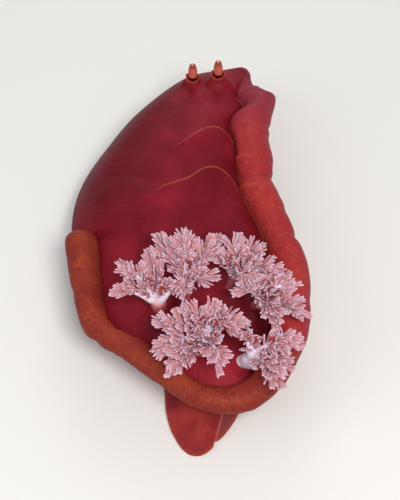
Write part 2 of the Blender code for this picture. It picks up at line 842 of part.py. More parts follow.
def distance(point, paths):
    """Least distance from a point to any of the paths."""
    least = math.inf
    for path in paths:
        for start, end in zip(path, path[1:]):
            run = end - start
            share = max(0.0, min(1.0, (point - start).dot(run) / run.length_squared))
            least = min(least, (start + run * share - point).length)
    return least


def leaflet_length(root, ahead, length, own, others):
    """Length that keeps a leaflet nearer to its own frond than to any other, or nothing."""
    for share in LEAFLET_CUTS:
        tip = root + ahead * length * share
        middle = root.lerp(tip, 0.5)
        room = min(distance(at, others) - distance(at, own) - need for at, need in (
            (tip, LEAFLET_CLEARANCE),
            (middle, LEAFLET_CLEARANCE + LEAFLET_WIDTH / 2),
        ))
        if room > 0:
            return length * share
    return None


def leaflet(root, ahead, across, length, material):
    """One flat tapered leaflet that curls up towards its tip."""
    rise = UP * length * LEAFLET_CURL
    path = [root + ahead * length * share + rise * share**2 for share in (0.0, 0.5, 1.0)]
    widths = [LEAFLET_WIDTH * share for share in LEAFLET_WIDTHS]
    depths = [LEAFLET_THICKNESS * share for share in LEAFLET_DEPTHS]
    return mesh_object("leaflet", limb(path, widths, depths, LEAFLET_SIDES, across), material)


def build_gill(index, base, fronds, others, material):
    """One gill: a trunk that parts into arched fronds, each with leaflets on both sides."""
    top = base + UP * GILL_TRUNK
    trunk_path = [base, base.lerp(top, 0.5), top]
    trunk_widths = [GILL_TRUNK_RADIUS * share for share in GILL_TRUNK_WIDTHS]
    round_trunk = limb(trunk_path, trunk_widths, trunk_widths, GILL_TRUNK_SIDES, Vector((1, 0, 0)))
    trunk = mesh_object("gill_" + str(index), round_trunk, material)
    pieces = []
    for frond in fronds:
        rest = others + [other.path for other in fronds if other is not frond]
        widths = [FROND_WIDTH * share for share in FROND_WIDTHS]
        body = limb(frond.path, widths, widths, FROND_SIDES, frond.across)
        pieces.append(mesh_object("frond", body, material))
        reach = (frond.path[-1] - frond.path[0]).length
        pairs = max(2, round(reach / LEAFLET_PITCH))
        spots = [(END_LEAFLET_SHARE, 0)]
        for pair in range(pairs):
            share = FIRST_LEAFLET + (LAST_LEAFLET - FIRST_LEAFLET) * pair / pairs
            spots += [(share, -1), (share + LEAFLET_STAGGER / pairs, 1)]
        for share, side in spots:
            root, along = frond.at(share)
            normal = frond.across.cross(along)
            out = frond.across * side * math.cos(LEAFLET_LIFT) + normal * math.sin(LEAFLET_LIFT)
            spread = LEAFLET_SPREAD if side else 0.0
            ahead = (along * math.cos(spread) + out * math.sin(spread)).normalized()
            full = LEAFLET_LENGTH * (1 - LEAFLET_SHORTENING * share)
            length = leaflet_length(root, ahead, full, [frond.path], rest)
            if length:
                across = along if side else frond.across
                pieces.append(leaflet(root, ahead, across, length, material))
    fuse(trunk, pieces)


def main():
    clear_scene()
    mantle, mantle_edge, foot_flesh, gill_flesh, club_flesh = [finish(*row) for row in FLESHES]
    spokes = [Spoke(math.tau * index / SPOKES) for index in range(SPOKES)]
    backs = build_back(spokes, mantle)
    trees = {}
    for back in backs:
        shape = bmesh.new()
        shape.from_mesh(back.data)
        trees[back.name] = BVHTree.FromBMesh(shape)
        shape.free()
    build_edge(spokes, mantle_edge)
    build_body(foot_flesh)
    build_head(foot_flesh)
    build_foot(foot_flesh)
    build_tail(foot_flesh)
    build_oral_tentacles(foot_flesh)

    rear, middle, front = backs
    collars = []
    for name, across in RHINOPHORES:
        x = bend(across, RHINOPHORE_ALONG)
        ground = seat_height(trees[front.name], x, RHINOPHORE_ALONG, SHEATH_RADIUS)
        collars.append(boss(x, RHINOPHORE_ALONG, ground, SHEATH_RADIUS + SHEATH_BOSS, mantle))
        build_club(name, x, RHINOPHORE_ALONG, ground, club_flesh)
        build_sheath(name, x, RHINOPHORE_ALONG, ground, mantle_edge)
    fuse(front, collars)

    collars = []
    bases = []
    crown = []
    for (x, y), bearings, reaches in GILLS:
        x, y = x * MM, y * MM
        ground = seat_height(trees[rear.name], x, y, GILL_TRUNK_RADIUS)
        collars.append(boss(x, y, ground, COLLAR_RADIUS, mantle))
        base = Vector((x, y, ground + GAP))
        bases.append(base)
        fronds = []
        for number, (bearing, reach) in enumerate(zip(bearings, reaches)):
            lift = FROND_LIFTS[number % len(FROND_LIFTS)]
            midline = reach * MM - END_LEAFLET
            fronds.append(Frond(base, math.radians(bearing), midline, lift))
        crown.append(fronds)
    for index, (base, fronds) in enumerate(zip(bases, crown)):
        others = [[other, other + UP * GILL_TRUNK] for other in bases if other is not base]
        for rest in crown:
            if rest is not fronds:
                others += [frond.path for frond in rest]
        build_gill(index + 1, base, fronds, others, gill_flesh)
    x, y = PAPILLA
    ground = seat_height(trees[rear.name], x, y, PAPILLA_RADIUS)
    collars.append(boss(x, y, ground, PAPILLA_RADIUS + PAPILLA_BOSS, mantle))
    build_papilla(x, y, ground, mantle_edge)
    fuse(rear, collars)


main()
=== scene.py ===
"""Dressed model of a crawling spanish dancer nudibranch, life size, on a plain pale floor.

The frame is in metres, with +Y to the head, +X to the animal's right and +Z up. Sizes of the
body are given in millimetres on a straight plan, as across and along, and BodyPlan.bend gives
them the curve of the living animal.
"""

import logging
import math
from dataclasses import dataclass, field
from enum import Enum
from functools import cached_property, partial, reduce

import bmesh
import bpy
import numpy as np
from mathutils import Matrix, Vector, noise


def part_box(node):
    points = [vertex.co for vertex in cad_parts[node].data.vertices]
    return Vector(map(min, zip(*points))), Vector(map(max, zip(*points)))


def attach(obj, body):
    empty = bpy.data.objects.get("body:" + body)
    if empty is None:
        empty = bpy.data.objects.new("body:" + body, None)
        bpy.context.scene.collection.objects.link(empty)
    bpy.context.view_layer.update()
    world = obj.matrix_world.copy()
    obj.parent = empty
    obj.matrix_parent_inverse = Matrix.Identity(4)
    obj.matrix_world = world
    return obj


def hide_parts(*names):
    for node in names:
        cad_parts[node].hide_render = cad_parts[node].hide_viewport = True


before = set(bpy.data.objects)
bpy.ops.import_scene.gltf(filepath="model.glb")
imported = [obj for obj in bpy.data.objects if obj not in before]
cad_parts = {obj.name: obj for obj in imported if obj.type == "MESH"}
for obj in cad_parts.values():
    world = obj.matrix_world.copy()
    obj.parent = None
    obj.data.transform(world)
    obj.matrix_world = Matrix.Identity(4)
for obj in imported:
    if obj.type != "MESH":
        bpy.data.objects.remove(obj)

MM = 0.001
BODY = "root"
UP = Vector((0.0, 0.0, 1.0))
# Highest point of the gills, and the height above which their tops are pressed down to it
TOP = 69.6
PRESS_FROM = 57.0
# Number that signed distances are carried above, because a carried value stays positive
LINE_BASE = 100.0

# Colour map that colours can be baked onto, and the empty rim of a cell of it
BAKE_MAP = "OFBake"
CELL_RIM = 0.07

log = logging.getLogger("dancer")

Array = np.ndarray
Amount = float | Array
Pair = tuple[float, float]
Pairs = tuple[Pair, ...]
Triple = tuple[float, float, float]
Stations = tuple[tuple[float, float, float, float], ...]
Colour = Triple
Socket = bpy.types.NodeSocket
Source = Socket | float | Colour


class Zone(Enum):
    """Names of the values that the skin carries on its points, for its finish to read.

    LIP, RIM and the pleats are signed distances above LINE_BASE. RING is a place round the
    animal and round the section, and JOINED tells what grows from the head. The others are
    shares from 0 to 1.
    """

    ROLL = "roll"
    LIP = "lip"
    LAP = "lap"
    PLEAT_1 = "pleat_1"
    PLEAT_2 = "pleat_2"
    PLEAT_3 = "pleat_3"
    PLEATED = "pleated"
    OUTER = "outer"
    MOUND = "mound"
    FOOT = "foot"
    RIM = "rim"
    JOINED = "joined"
    RING = "ring"


class Side(Enum):
    """Sides of the animal, with the sign of its x."""

    LEFT = -1
    RIGHT = 1


def linear(red: int, green: int, blue: int) -> Colour:
    """Colour of the screen as linear light.

    Args:
        red: red from 0 to 255.
        green: green from 0 to 255.
        blue: blue from 0 to 255.

    Returns:
        The three parts, from 0 to 1.
    """
    parts = []
    for part in (red, green, blue):
        share = part / 255
        parts.append(share / 12.92 if share <= 0.04045 else ((share + 0.055) / 1.055) ** 2.4)
    return parts[0], parts[1], parts[2]


def smooth(low: float, high: float, value: Array) -> Array:
    """Share from 0 at low to 1 at high, with soft ends."""
    share = np.clip((value - low) / (high - low), 0.0, 1.0)
    return share * share * (3 - 2 * share)


def curve_through(places: Array, values: Array, at: Array) -> Array:
    """Smooth curve through stations.

    Args:
        places: rising places of the stations.
        values: one row of values a station.
        at: places to read.

    Returns:
        One row of values for each place read.
    """
    index = np.clip(np.searchsorted(places, at, side="right") - 1, 0, len(places) - 2)
    before, after = np.maximum(index - 1, 0), np.minimum(index + 2, len(places) - 1)
    span = (places[index + 1] - places[index])[:, None]
    share = (at - places[index])[:, None] / span
    start, end = values[index], values[index + 1]
    slope_in = (end - values[before]) / (places[index + 1] - places[before])[:, None] * span
    slope_out = (values[after] - start) / (places[after] - places[index])[:, None] * span
    return (
        start * (1 + 2 * share) * (1 - share) ** 2
        + slope_in * share * (1 - share) ** 2
        + end * share * share * (3 - 2 * share)
        + slope_out * share * share * (share - 1)
    )


def ripple(points: Array, pitch: Triple, seed: float) -> Array:
    """Soft random waves from -1 to 1.

    Args:
        points: places, one row of three each.
        pitch: length of a wave along each of the three.
        seed: shifts the pattern.

    Returns:
        One height a point.
    """
    shifted = points / np.array(pitch) + seed
    return np.array([noise.noise(place) for place in shifted.tolist()])


def mix(first: Amount, second: Amount, share: Amount) -> Amount:
    """Value at a share of the way from a first one to a second."""
    return first + (second - first) * share


def arc(start: Array, middle: Array, end: Array, share: Array) -> Array:
    """Points at shares of the way along smooth arcs that lean to their middle points."""
    return start * (1 - share) ** 2 + 2 * middle * share * (1 - share) + end * share**2


def unit(vectors: Array) -> Array:
    """Vectors made one long."""
    return vectors / np.linalg.norm(vectors, axis=-1, keepdims=True)


def round_section(sides: int) -> Pairs:
    """Round section of a form."""
    turns = np.arange(sides) * math.tau / sides
    return tuple((math.sin(turn), math.cos(turn)) for turn in turns)


def placed(name: str, data: bpy.types.ID) -> bpy.types.Object:
    """New object in the scene.

    Args:
        name: name of the object.
        data: its mesh, lamp or camera.

    Returns:
        The object.
    """
    made = bpy.data.objects.new(name, data)
    bpy.context.scene.collection.objects.link(made)
    return made


def mesh_of(shape: bmesh.types.BMesh, name: str) -> bpy.types.Mesh:
    """Mesh of a bmesh, which is freed.

    Args:
        shape: the bmesh.
        name: name of the mesh.

    Returns:
        The mesh.
    """
    data = bpy.data.meshes.new(name)
    shape.to_mesh(data)
    shape.free()
    return data


def smooth_object(shape: bmesh.types.BMesh, name: str) -> bpy.types.Object:
    """Object of a bmesh, which is freed, shaded smooth and with its place in its mesh.

    Args:
        shape: the bmesh.
        name: name of the object.

    Returns:
        The object.
    """
    data = mesh_of(shape, name)
    data.shade_smooth()
    return placed(name, data)


def evaluated(holder: bpy.types.Object) -> bpy.types.Mesh:
    """Mesh of an object with its modifiers applied."""
    graph = bpy.context.evaluated_depsgraph_get()
    return bpy.data.meshes.new_from_object(holder.evaluated_get(graph))


def points_of(mesh: bpy.types.Mesh) -> Array:
    """Points of a mesh.

    Args:
        mesh: the mesh.

    Returns:
        One row of three a point.
    """
    points = np.empty(len(mesh.vertices) * 3)
    mesh.vertices.foreach_get("co", points)
    return points.reshape(-1, 3)


@dataclass(frozen=True)
class BodyPlan:
    """Plan of the mantle on a straight body, in millimetres, and the bend of the living one."""

    half_width: float = 60.0
    half_length: float = 125.0
    axis_half_length: float = 80.0
    bend_base: float = 8.0
    bend_depth: float = 26.0
    bend_centre: float = 20.0
    bend_span: float = 70.0
    # Across, along, height of the roll's centre and its radius, from the front over the right
    edge: Stations = (
        (0, 106, 30.5, 5.0), (9, 108, 32, 4.8), (14, 103, 34, 4.8), (16, 95.5, 36, 5.2),
        (19, 89, 37.5, 5.8), (25, 84, 38.5, 7.2), (32, 78.5, 39.5, 9.2), (33.5, 71, 40.5, 9.8),
        (33, 61.5, 41.5, 12.0), (38.5, 46, 41.5, 10.6), (44, 31, 42, 11.6), (47.8, 15, 42, 9.8),
        (51, 2, 42, 11.0), (54.5, -13, 42, 10.4), (57, -36, 42, 10.8), (55, -54, 42, 11.0),
        (51.8, -78, 41, 10.6), (47, -93, 39.5, 10.0), (40, -109, 37, 8.8), (26, -122.5, 34.5, 7.8),
        (5, -124, 33.5, 7.2), (-14.7, -113.5, 33.5, 7.4), (-36.6, -99.5, 34.5, 7.6),
        (-56.3, -89, 36.5, 7.8), (-62.8, -66, 39.5, 8.3), (-63.5, -42, 40, 8.6),
        (-63, -24, 41, 8.4),
    )
    # The low left front margin, past the free end of the left roll
    low_edge: Stations = (
        (-61, -66, 30, 7.0), (-61.5, -42, 28, 6.8), (-61, -24, 25, 6.5), (-57, 8, 19, 5.0),
        (-49, 42, 18, 5.0), (-41, 72, 21.5, 5.3), (-22, 97, 28.5, 5.4), (0, 106, 30.5, 5.0),
        (9, 108, 32, 4.8),
    )
    roll_end: float = -38.0
    roll_end_length: float = 8.5
    roll_end_from: float = 205.0
    end_curl_from: float = 0.75
    front_blend: float = 0.14
    front_curl: float = 0.35
    front_turns: Pair = (0.26, 0.46)
    crown: Pairs = (
        (-125, 35), (-100, 38), (-80, 40.5), (-50, 43), (-20, 46.5), (20, 48), (60, 46), (95, 41),
        (125, 33),
    )

    def bend(self, across: Array, along: Array) -> Array:
        """Ground position across of points of the straight plan."""
        shift = self.bend_depth * np.exp(-(((along - self.bend_centre) / self.bend_span) ** 2))
        return across + self.bend_base - shift

    def turn_of(self, across: float, along: float) -> float:
        """Angle of a station from the front, clockwise from above."""
        return math.atan2(across / self.half_width, along / self.half_length) % math.tau

    def track(self, stations: Stations, turns: Array) -> Array:
        """Values of a run of stations at some angles.

        Args:
            stations: across, along, height and radius of each.
            turns: angles to read.

        Returns:
            One row of across, along, height and radius an angle.
        """
        rising = [self.turn_of(row[0], row[1]) for row in stations]
        if rising[-1] < rising[0]:
            rising = [place - math.tau if place > math.pi else place for place in rising]
            turns = np.where(turns > math.pi, turns - math.tau, turns)
        return curve_through(np.array(rising), np.array(stations, float), turns)

    def past_end(self, high: Array) -> Array:
        """Share of the way past the free end of the left roll, from stations of the roll."""
        return np.clip((high[:, 1] - self.roll_end) / self.roll_end_length, 0.0, 1.0)

    def edge_at(self, turns: Array) -> Array:
        """Centre and radius of the roll.

        Args:
            turns: angles to read.

        Returns:
            One row of across, along, height and radius an angle.
        """
        high = self.track(self.edge, turns)
        low = self.track(self.low_edge, turns)
        left = turns > math.radians(self.roll_end_from)
        share = np.where(left, np.sqrt(1 - self.past_end(high) ** 2), 1.0)
        front = np.where(turns < self.front_blend, turns / self.front_blend, share)
        return mix(low, high, front[:, None])

    def curl_at(self, turns: Array) -> Array:
        """Share of a full roll that the edge has, from none on the low left front margin.

        Args:
            turns: angles to read.

        Returns:
            One share an angle.
        """
        past = self.past_end(self.track(self.edge, turns))
        left = turns > math.radians(self.roll_end_from)
        front = mix(self.front_curl, 1, smooth(*self.front_turns, turns))
        front = front * smooth(0.0, self.front_blend, turns)
        return np.where(left, smooth(1.0, self.end_curl_from, past), front)

    def crown_at(self, along: Array) -> Array:
        """Height of the back on its middle line.

        Args:
            along: places along.

        Returns:
            One height a place.
        """
        stations = np.array(self.crown, float)
        flat = np.clip(along.ravel(), stations[0, 0], stations[-1, 0])
        return curve_through(stations[:, 0], stations[:, 1:], flat)[:, 0].reshape(along.shape)


@dataclass(frozen=True)
class Fold:
    """One pleat across the back: a slope up from behind, a thin crest and a steep front.

    Its crest runs from the left over a rounded corner to the roll on the right. Each station
    is across and along, with the height of the crest.
    """

    line: tuple[Triple, ...]
    front: float = 2.4
    rear: float = 15.0
    samples: int = 90

    def crest(self, across: Array, along: Array) -> tuple[Array, Array]:
        """Where points lie from the crest.

        Args:
            across: places across.
            along: places along.

        Returns:
            Distance ahead of the crest, negative behind it, and the height of the crest there.
        """
        stations = np.array(self.line, float)
        line = curve_through(np.arange(len(stations), dtype=float), stations,
                             np.linspace(0, len(stations) - 1, self.samples))
        run = np.gradient(line[:, :2], axis=0)
        way = np.stack([-run[:, 1], run[:, 0]], axis=1)
        way /= np.linalg.norm(way, axis=1, keepdims=True)
        offset = np.stack([across, along], axis=1)[:, None, :] - line[None, :, :2]
        far = np.linalg.norm(offset, axis=2)
        nearest = np.argmin(far, axis=1)
        rows = np.arange(len(across))
        ahead = np.sum(offset[rows, nearest] * way[nearest], axis=1)
        return np.copysign(far[rows, nearest], ahead), line[nearest, 2]

    def rise(self, past: Array, height: Array) -> Array:
        """Height that the pleat adds to the back.

        Args:
            past: distance ahead of the crest.
            height: height of the crest.

        Returns:
            One height a point.
        """
        behind = np.exp(-((past / self.rear) ** 2))
        ahead = 1 - smooth(0.0, self.front, past)
        return height * np.where(past < 0, behind, ahead)


@dataclass(frozen=True)
class Lap:
    """Lobe of the roll whose front lies over the lobe ahead of it, from its inner edge out."""

    inner: float
    top: float
    outer: float
    rise: float
    front: float = 1.3
    rear: float = 11.0


@dataclass(frozen=True)
class Pinch:
    """Crease across the roll, from its free edge to its outer side."""

    inner: float
    outer: float
    depth: float
    width: float


@dataclass
class Row:
    """One line of the skin all round the animal, with what its points carry."""

    points: Array
    values: dict[Zone, Array] = field(default_factory=dict)


@dataclass
class Skin:
    """The whole skin: back, rolled mantle edge, underside, flanks, head, foot, tail and sole."""

    plan: BodyPlan = field(default_factory=BodyPlan)
    spokes: int = 600
    halvings: int = 24
    dense_turn: float = 62.0
    dense_spread: float = 32.0
    dense_gain: float = 1.3
    back_rows: int = 52
    back_power: float = 1.3
    back_fall: float = 4.0
    lip_rows: int = 9
    roll_rows: int = 34
    under_rows: int = 8
    flank_rows: int = 26
    sole_rows: int = 7
    rear_crease: float = 212.0
    right_crease: float = 192.0
    rim_crease: float = 40.0
    roll_under: float = -100.0
    lip_height: float = 0.4
    lip_width: float = 0.8
    lip_run: float = 3.0
    lip_middle: float = 1.2
    # How far the lip's line is pushed away where the edge has no roll
    lip_away: float = 20.0
    groove_depth: float = 0.7
    groove_width: float = 1.2
    groove_front: float = 0.2
    pleat_reach: float = 5.0
    pleat_height: float = 3.2
    # Distance round the section, for patterns, where one part of the skin ends
    girth_crease: float = 50.0
    girth_under: float = 110.0
    girth_neck: float = 130.0
    girth_rim: float = 160.0
    girth_sole: float = 200.0
    # Angle from the front, and how far the inner line of the roll lies further out there
    inner_shift: Pairs = (
        (0, 0.0), (47, 0.0), (56, 1.2), (63, 2.6), (70, 2.6), (77, 0.6), (82, -0.4), (90, 0.0),
        (228, 0.0), (240, -2.0), (252, -3.4), (285, -3.4), (300, 0.0), (360, 0.0),
    )
    # How a lobe's front runs out over the roll, and over which shares of it the lobe and its
    # line fade; then where the line lies past the front, and its width
    lap_run: Triple = (0.0, 0.35, 0.8)
    lap_fade: Pair = (0.42, 0.8)
    lap_line_fade: Pair = (0.2, 0.5)
    lap_line_past: float = 0.6
    lap_line_width: float = 0.8
    notch_depth: float = 1.0
    notch_width: float = 1.7
    notch_fade: float = 0.22
    # Angles on the roll over which its outer colour comes, and how fast its relief grows from
    # the crease and from the underside
    outer_turns: Pair = (75.0, 5.0)
    growth_ends: Pair = (6.0, 4.0)
    wrinkle: float = 0.34
    wrinkle_pitch: Triple = (5.0, 5.0, 17.0)
    swell: float = 0.32
    roll_swell: float = 0.256
    swell_pitch: Triple = (22.0, 26.0, 40.0)
    # Shifts of the random patterns: the back's swell, and the roll's wrinkles and swell
    seeds: Triple = (3.7, 8.3, 1.9)
    folds: tuple[Fold, ...] = (
        Fold((
            (-13.5, -1.5, 0.0), (-8, 2.2, 2.0), (0, 5.2, 2.8), (7.4, 8.9, 3.2), (16.6, 16.8, 3.3),
            (25.5, 18.6, 3.0), (32.5, 14.8, 2.2), (36.8, 8, 1.3), (39.8, -1, 0.7), (43, -12, 0.2),
        )),
        Fold((
            (-6, 31, 0.0), (-1, 35.5, 1.4), (3.5, 40.5, 2.4), (8.3, 46, 3.0), (14, 49.6, 3.2),
            (19.9, 50, 3.2), (26.5, 46.3, 2.6), (31.2, 40.5, 1.8), (34, 32, 1.0), (35.6, 24, 0.5),
            (37, 17, 0.1),
        )),
        Fold((
            (-8, 93, 0.0), (-2.7, 94, 1.0), (3, 92.5, 1.8), (9, 92.2, 2.0), (14, 88, 1.4),
            (17.5, 81, 0.8), (19.5, 73, 0.3),
        )),
    )
    broad_fold: Fold = Fold((
        (-50, -9, 0.6), (-43.7, -4.3, 1.6), (-38, -0.5, 2.0), (-30, 1, 2.2), (-22.2, -2.1, 1.6),
        (-16.6, -5.8, 0.9), (-10, -10, 0.0),
    ), front=9.0, rear=16.0)
    laps: tuple[Lap, ...] = (
        Lap(25, 26, 29, 1.0), Lap(43, 46, 51, 1.15), Lap(59.3, 61, 62, 0.4), Lap(69.6, 74, 79, 1.0),
        Lap(82.7, 86.5, 92, 0.8), Lap(100, 101, 103, 0.35),
    )
    pinches: tuple[Pinch, ...] = (
        Pinch(50, 53, 1.3, 2.8), Pinch(79, 81, 1.0, 3.2), Pinch(92, 93, 0.7, 3.2),
        Pinch(102, 101, 1.5, 3.2), Pinch(119, 118, 0.6, 4.5), Pinch(199, 197, 0.6, 4.0),
        Pinch(226, 229, 1.5, 3.2), Pinch(243, 243, 0.6, 3.0),
    )
    # How fast a pinch runs out over the roll, and the angles over which it gets deep
    pinch_run: float = 1.6
    pinch_turns: Pair = (162.0, 54.0)
    neck_height: float = 22.5
    neck_half_width: float = 29.5
    neck_rear: float = -96.0
    neck_front: float = 84.0
    flank_half_width: float = 33.0
    flank_rear: float = -106.0
    head_from: float = 56.0
    head_start: float = 80.0
    head_front: float = 105.3
    head_half_width: float = 24.0
    head_shift: float = -5.0
    head_narrow: float = 20.0
    # Cosine of the angle from the front, over which the underside and the chin change
    front_from: Pair = (0.86, 0.97)
    under_sag: float = 1.5
    chin_depth: float = 4.5
    # Shares of the way down the flank, and its heights between the neck and the foot's rim
    flank_keys: tuple[float, ...] = (0.0, 0.18, 0.42, 0.62, 0.78, 0.92, 1.0)
    flank_levels: tuple[float, ...] = (19.5, 14.0, 8.6, 5.2, 3.4)
    foot_rear: float = -100.0
    foot_front: float = 99.6
    foot_half_width: float = 37.0
    foot_rim: float = 2.2
    rim_round: float = 1.1
    # How far the line of the foot's rim is pushed away higher up the flank
    rim_away: float = 9.0
    # Outline of the foot behind the middle: along, half width to the left and to the right
    foot_edge: tuple[Triple, ...] = (
        (-144.6, 1.0, 5.0), (-141.5, 5.2, 9.0), (-137.8, 8.4, 11.8), (-136, 9.6, 10.9),
        (-134.4, 10.7, 13.9), (-130, 13.2, 17.6), (-120, 16.6, 23.0), (-108, 18.6, 27.0),
        (-92, 22.5, 31.0), (-60, 32.0, 35.5), (-30, 36.0, 37.0), (0, 37.0, 37.0),
    )
    tail_tip: float = -144.7
    tail_height: float = 19.5
    tail_fall: float = 0.8
    tail_ridge: float = 0.34
    tail_round_left: float = 2.1
    tail_round_right: float = 1.3
    tail_line_height: float = 0.9
    tail_line_width: float = 1.3
    # Places along, over which the flank's points even out and its profile turns to the tail's
    even_from: Pair = (-80.0, -104.0)
    tail_from: Pair = (-92.0, -106.0)
    collar: Pair = (4.2, 9.0)
    collar_sink: float = 0.5
    mound: Pair = (18.0, -77.0)
    mound_height: float = 4.6
    mound_edge: Pair = (1.3, 4.2)
    mound_dimple: float = 1.1
    mound_dimple_width: float = 0.75

    def __post_init__(self) -> None:
        """Lay out the spokes and where each leaves the body axis and meets the mantle edge."""
        dense = np.linspace(0.0, math.pi, 2001)
        centre, spread = math.radians(self.dense_turn), math.radians(self.dense_spread)
        weight = 1 + self.dense_gain * np.exp(-(((dense - centre) / spread) ** 2))
        reached = np.concatenate([[0.0], np.cumsum((weight[1:] + weight[:-1]) / 2)])
        half = self.spokes // 2
        right = np.interp(np.linspace(0, reached[-1], half + 1), reached, dense)
        self.turns = np.concatenate([right, math.tau - right[-2:0:-1]])
        edge = self.plan.edge_at(self.turns)
        self.across, self.along, self.height, self.radius = edge.T
        self.root = self.plan.axis_half_length * np.cos(self.turns)
        self.reach = np.hypot(self.across, self.along - self.root)
        self.curl = self.plan.curl_at(self.turns)
        self.rearward = smooth(95, 135, np.degrees(self.turns))
        full = mix(self.right_crease, self.rear_crease, self.rearward)
        self.crease = np.radians(mix(self.rim_crease, full, self.curl))
        ring = np.stack([np.cos(self.turns), np.sin(self.turns)], axis=1)
        self.ring = ring * (self.plan.half_width + self.plan.half_length) / 2
        self.length = np.cumsum(np.hypot(np.gradient(self.across), np.gradient(self.along)))
        turns, shifts = np.array(self.inner_shift).T
        self.notches = np.interp(np.degrees(self.turns), turns, shifts)
        for lap in self.laps:
            past = (self.length - self.length_at(lap.inner)) / self.notch_width
            self.notches += self.notch_depth * min(lap.rise, 1.0) * np.exp(-(past**2))
        self.feet = self.stands()

    def length_at(self, degrees: float) -> float:
        """Distance round the mantle edge to an angle."""
        return float(np.interp(degrees, np.degrees(self.turns), self.length))

    def plan_at(self, out: Array) -> tuple[Array, Array]:
        """Straight plan position a distance out along each spoke."""
        share = out / self.reach
        return self.across * share, mix(self.root, self.along, share)

    def row(self, out: Array, height: Array, girth: float, values: dict[Zone, Array]) -> Row:
        """Line of points on the spokes.

        Args:
            out: distance out along each spoke.
            height: height of each point.
            girth: distance round the section, for patterns that follow it.
            values: what the points carry.

        Returns:
            The line.
        """
        across, along = self.plan_at(out)
        points = np.stack([self.plan.bend(across, along), along, height], axis=1)
        carried = {zone: np.broadcast_to(value, out.shape) for zone, value in values.items()}
        carried[Zone.RING] = np.column_stack([self.ring, np.full(len(out), girth)])
        return Row(points, carried)

    def back(self) -> list[Row]:
        """Back from the body axis to the crease under the roll.

        Returns:
            Its lines, from the inside out.
        """
        crease_out = self.reach + self.radius * np.cos(self.crease) + self.notches * self.curl
        crease_height = self.height + self.radius * np.sin(self.crease)
        deepened = mix(self.groove_front, 1, self.rearward)
        groove = self.groove_depth * self.curl * deepened
        away = self.lip_width + self.lip_away * (1 - self.curl)
        rows = []
        for step in range(self.back_rows):
            share = 1 - (1 - step / self.back_rows) ** self.back_power
            out = crease_out * share
            across, along = self.plan_at(out)
            crown = self.plan.crown_at(along)
            values = {Zone.LIP: LINE_BASE + out - crease_out - away}
            pleated = np.zeros(len(out))
            for zone, fold in zip((Zone.PLEAT_1, Zone.PLEAT_2, Zone.PLEAT_3), self.folds):
                past, high = fold.crest(across, along)
                crown = crown + fold.rise(past, high)
                values[zone] = np.clip(past, -self.pleat_reach, self.pleat_reach) + LINE_BASE
                near = np.abs(past) < self.pleat_reach
                pleated = np.where(near, np.maximum(pleated, high / self.pleat_height), pleated)
            crown = crown + self.broad_fold.rise(*self.broad_fold.crest(across, along))
            height = mix(crown, crease_height, share**self.back_fall)
            height -= groove * np.exp(-(((crease_out - out) / self.groove_width) ** 2))
            place = np.stack([across, along, np.zeros(len(out))], axis=1)
            waves = ripple(place, self.swell_pitch, self.seeds[0])
            height += self.swell * waves * (1 - share**6)
            height, mound = self.raised(height, self.plan.bend(across, along), along)
            values |= {Zone.PLEATED: pleated, Zone.MOUND: mound}
            rows.append(self.row(out, height, share * self.girth_crease, values))
        return rows

    def raised(self, height: Array, east: Array, along: Array) -> tuple[Array, Array]:
        """Back with the collars round the gills and the clubs, and the low mound amid the gills.

        Args:
            height: heights of the plain back.
            east: places across on the ground.
            along: places along.

        Returns:
            The new heights, and how much of the mound each point has.
        """
        for foot in self.feet:
            far = np.hypot(east - foot.x, along - foot.y)
            collar = 1 - smooth(*self.collar, far)
            height = height + np.maximum(foot.z + self.collar_sink - height, 0.0) * collar
        far = np.hypot(east - self.mound[0], along - self.mound[1])
        mound = 1 - smooth(*self.mound_edge, far)
        dimple = self.mound_dimple * np.exp(-((far / self.mound_dimple_width) ** 2))
        return height + self.mound_height * mound - dimple, mound

    def stands(self) -> list[Vector]:
        """Feet of the gills and of the rhinophores, which the skin rises to meet.

        Returns:
            One point a foot.
        """
        feet = [Vector((plan.across, plan.along, 0.0)) for plan in GILLS]
        for number, foot in enumerate(feet, start=1):
            foot.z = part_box(f"gill_{number}")[0].z / MM
        for side in Side:
            low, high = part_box(f"rhinophore_sheath_{side.name.lower()}")
            middle = (low + high) / 2 / MM
            feet.append(Vector((middle.x, middle.y, low.z / MM + self.collar_sink)))
        return feet

    def drawn_in(self, angle: Array, share: float) -> Array:
        """How far the pinches draw in the roll.

        Args:
            angle: angle of each point on the roll.
            share: share of the way from the free edge.

        Returns:
            One depth a point.
        """
        drawn = np.zeros(len(self.turns))
        run = min(share * self.pinch_run, 1.0)
        for pinch in self.pinches:
            turn = mix(pinch.inner, pinch.outer, run)
            past = (self.length - self.length_at(turn)) / pinch.width
            drawn += pinch.depth * np.exp(-(past**2))
        return drawn * (0.5 + 0.5 * smooth(*np.radians(self.pinch_turns), angle))

    def lapped(self, share: float) -> tuple[Array, Array]:
        """Lobes that lie over the lobe ahead.

        Args:
            share: how far the line is from the free edge of the roll.

        Returns:
            How far they rise, and the strength of their front line.
        """
        rise = np.zeros(len(self.turns))
        line = np.zeros(len(self.turns))
        fade, line_fade = (1 - smooth(*span, share) for span in (self.lap_fade, self.lap_line_fade))
        for lap in self.laps:
            turn = float(np.interp(share, self.lap_run, (lap.inner, lap.top, lap.outer)))
            past = self.length - self.length_at(turn)
            raised = smooth(-lap.front / 2, lap.front / 2, past)
            rise += lap.rise * fade * raised * np.exp(-np.maximum(past, 0.0) / lap.rear)
            from_line = (past - self.lap_line_past) / self.lap_line_width
            line = np.maximum(line, line_fade * min(lap.rise, 1.0) * np.exp(-(from_line**2)))
        return rise, line

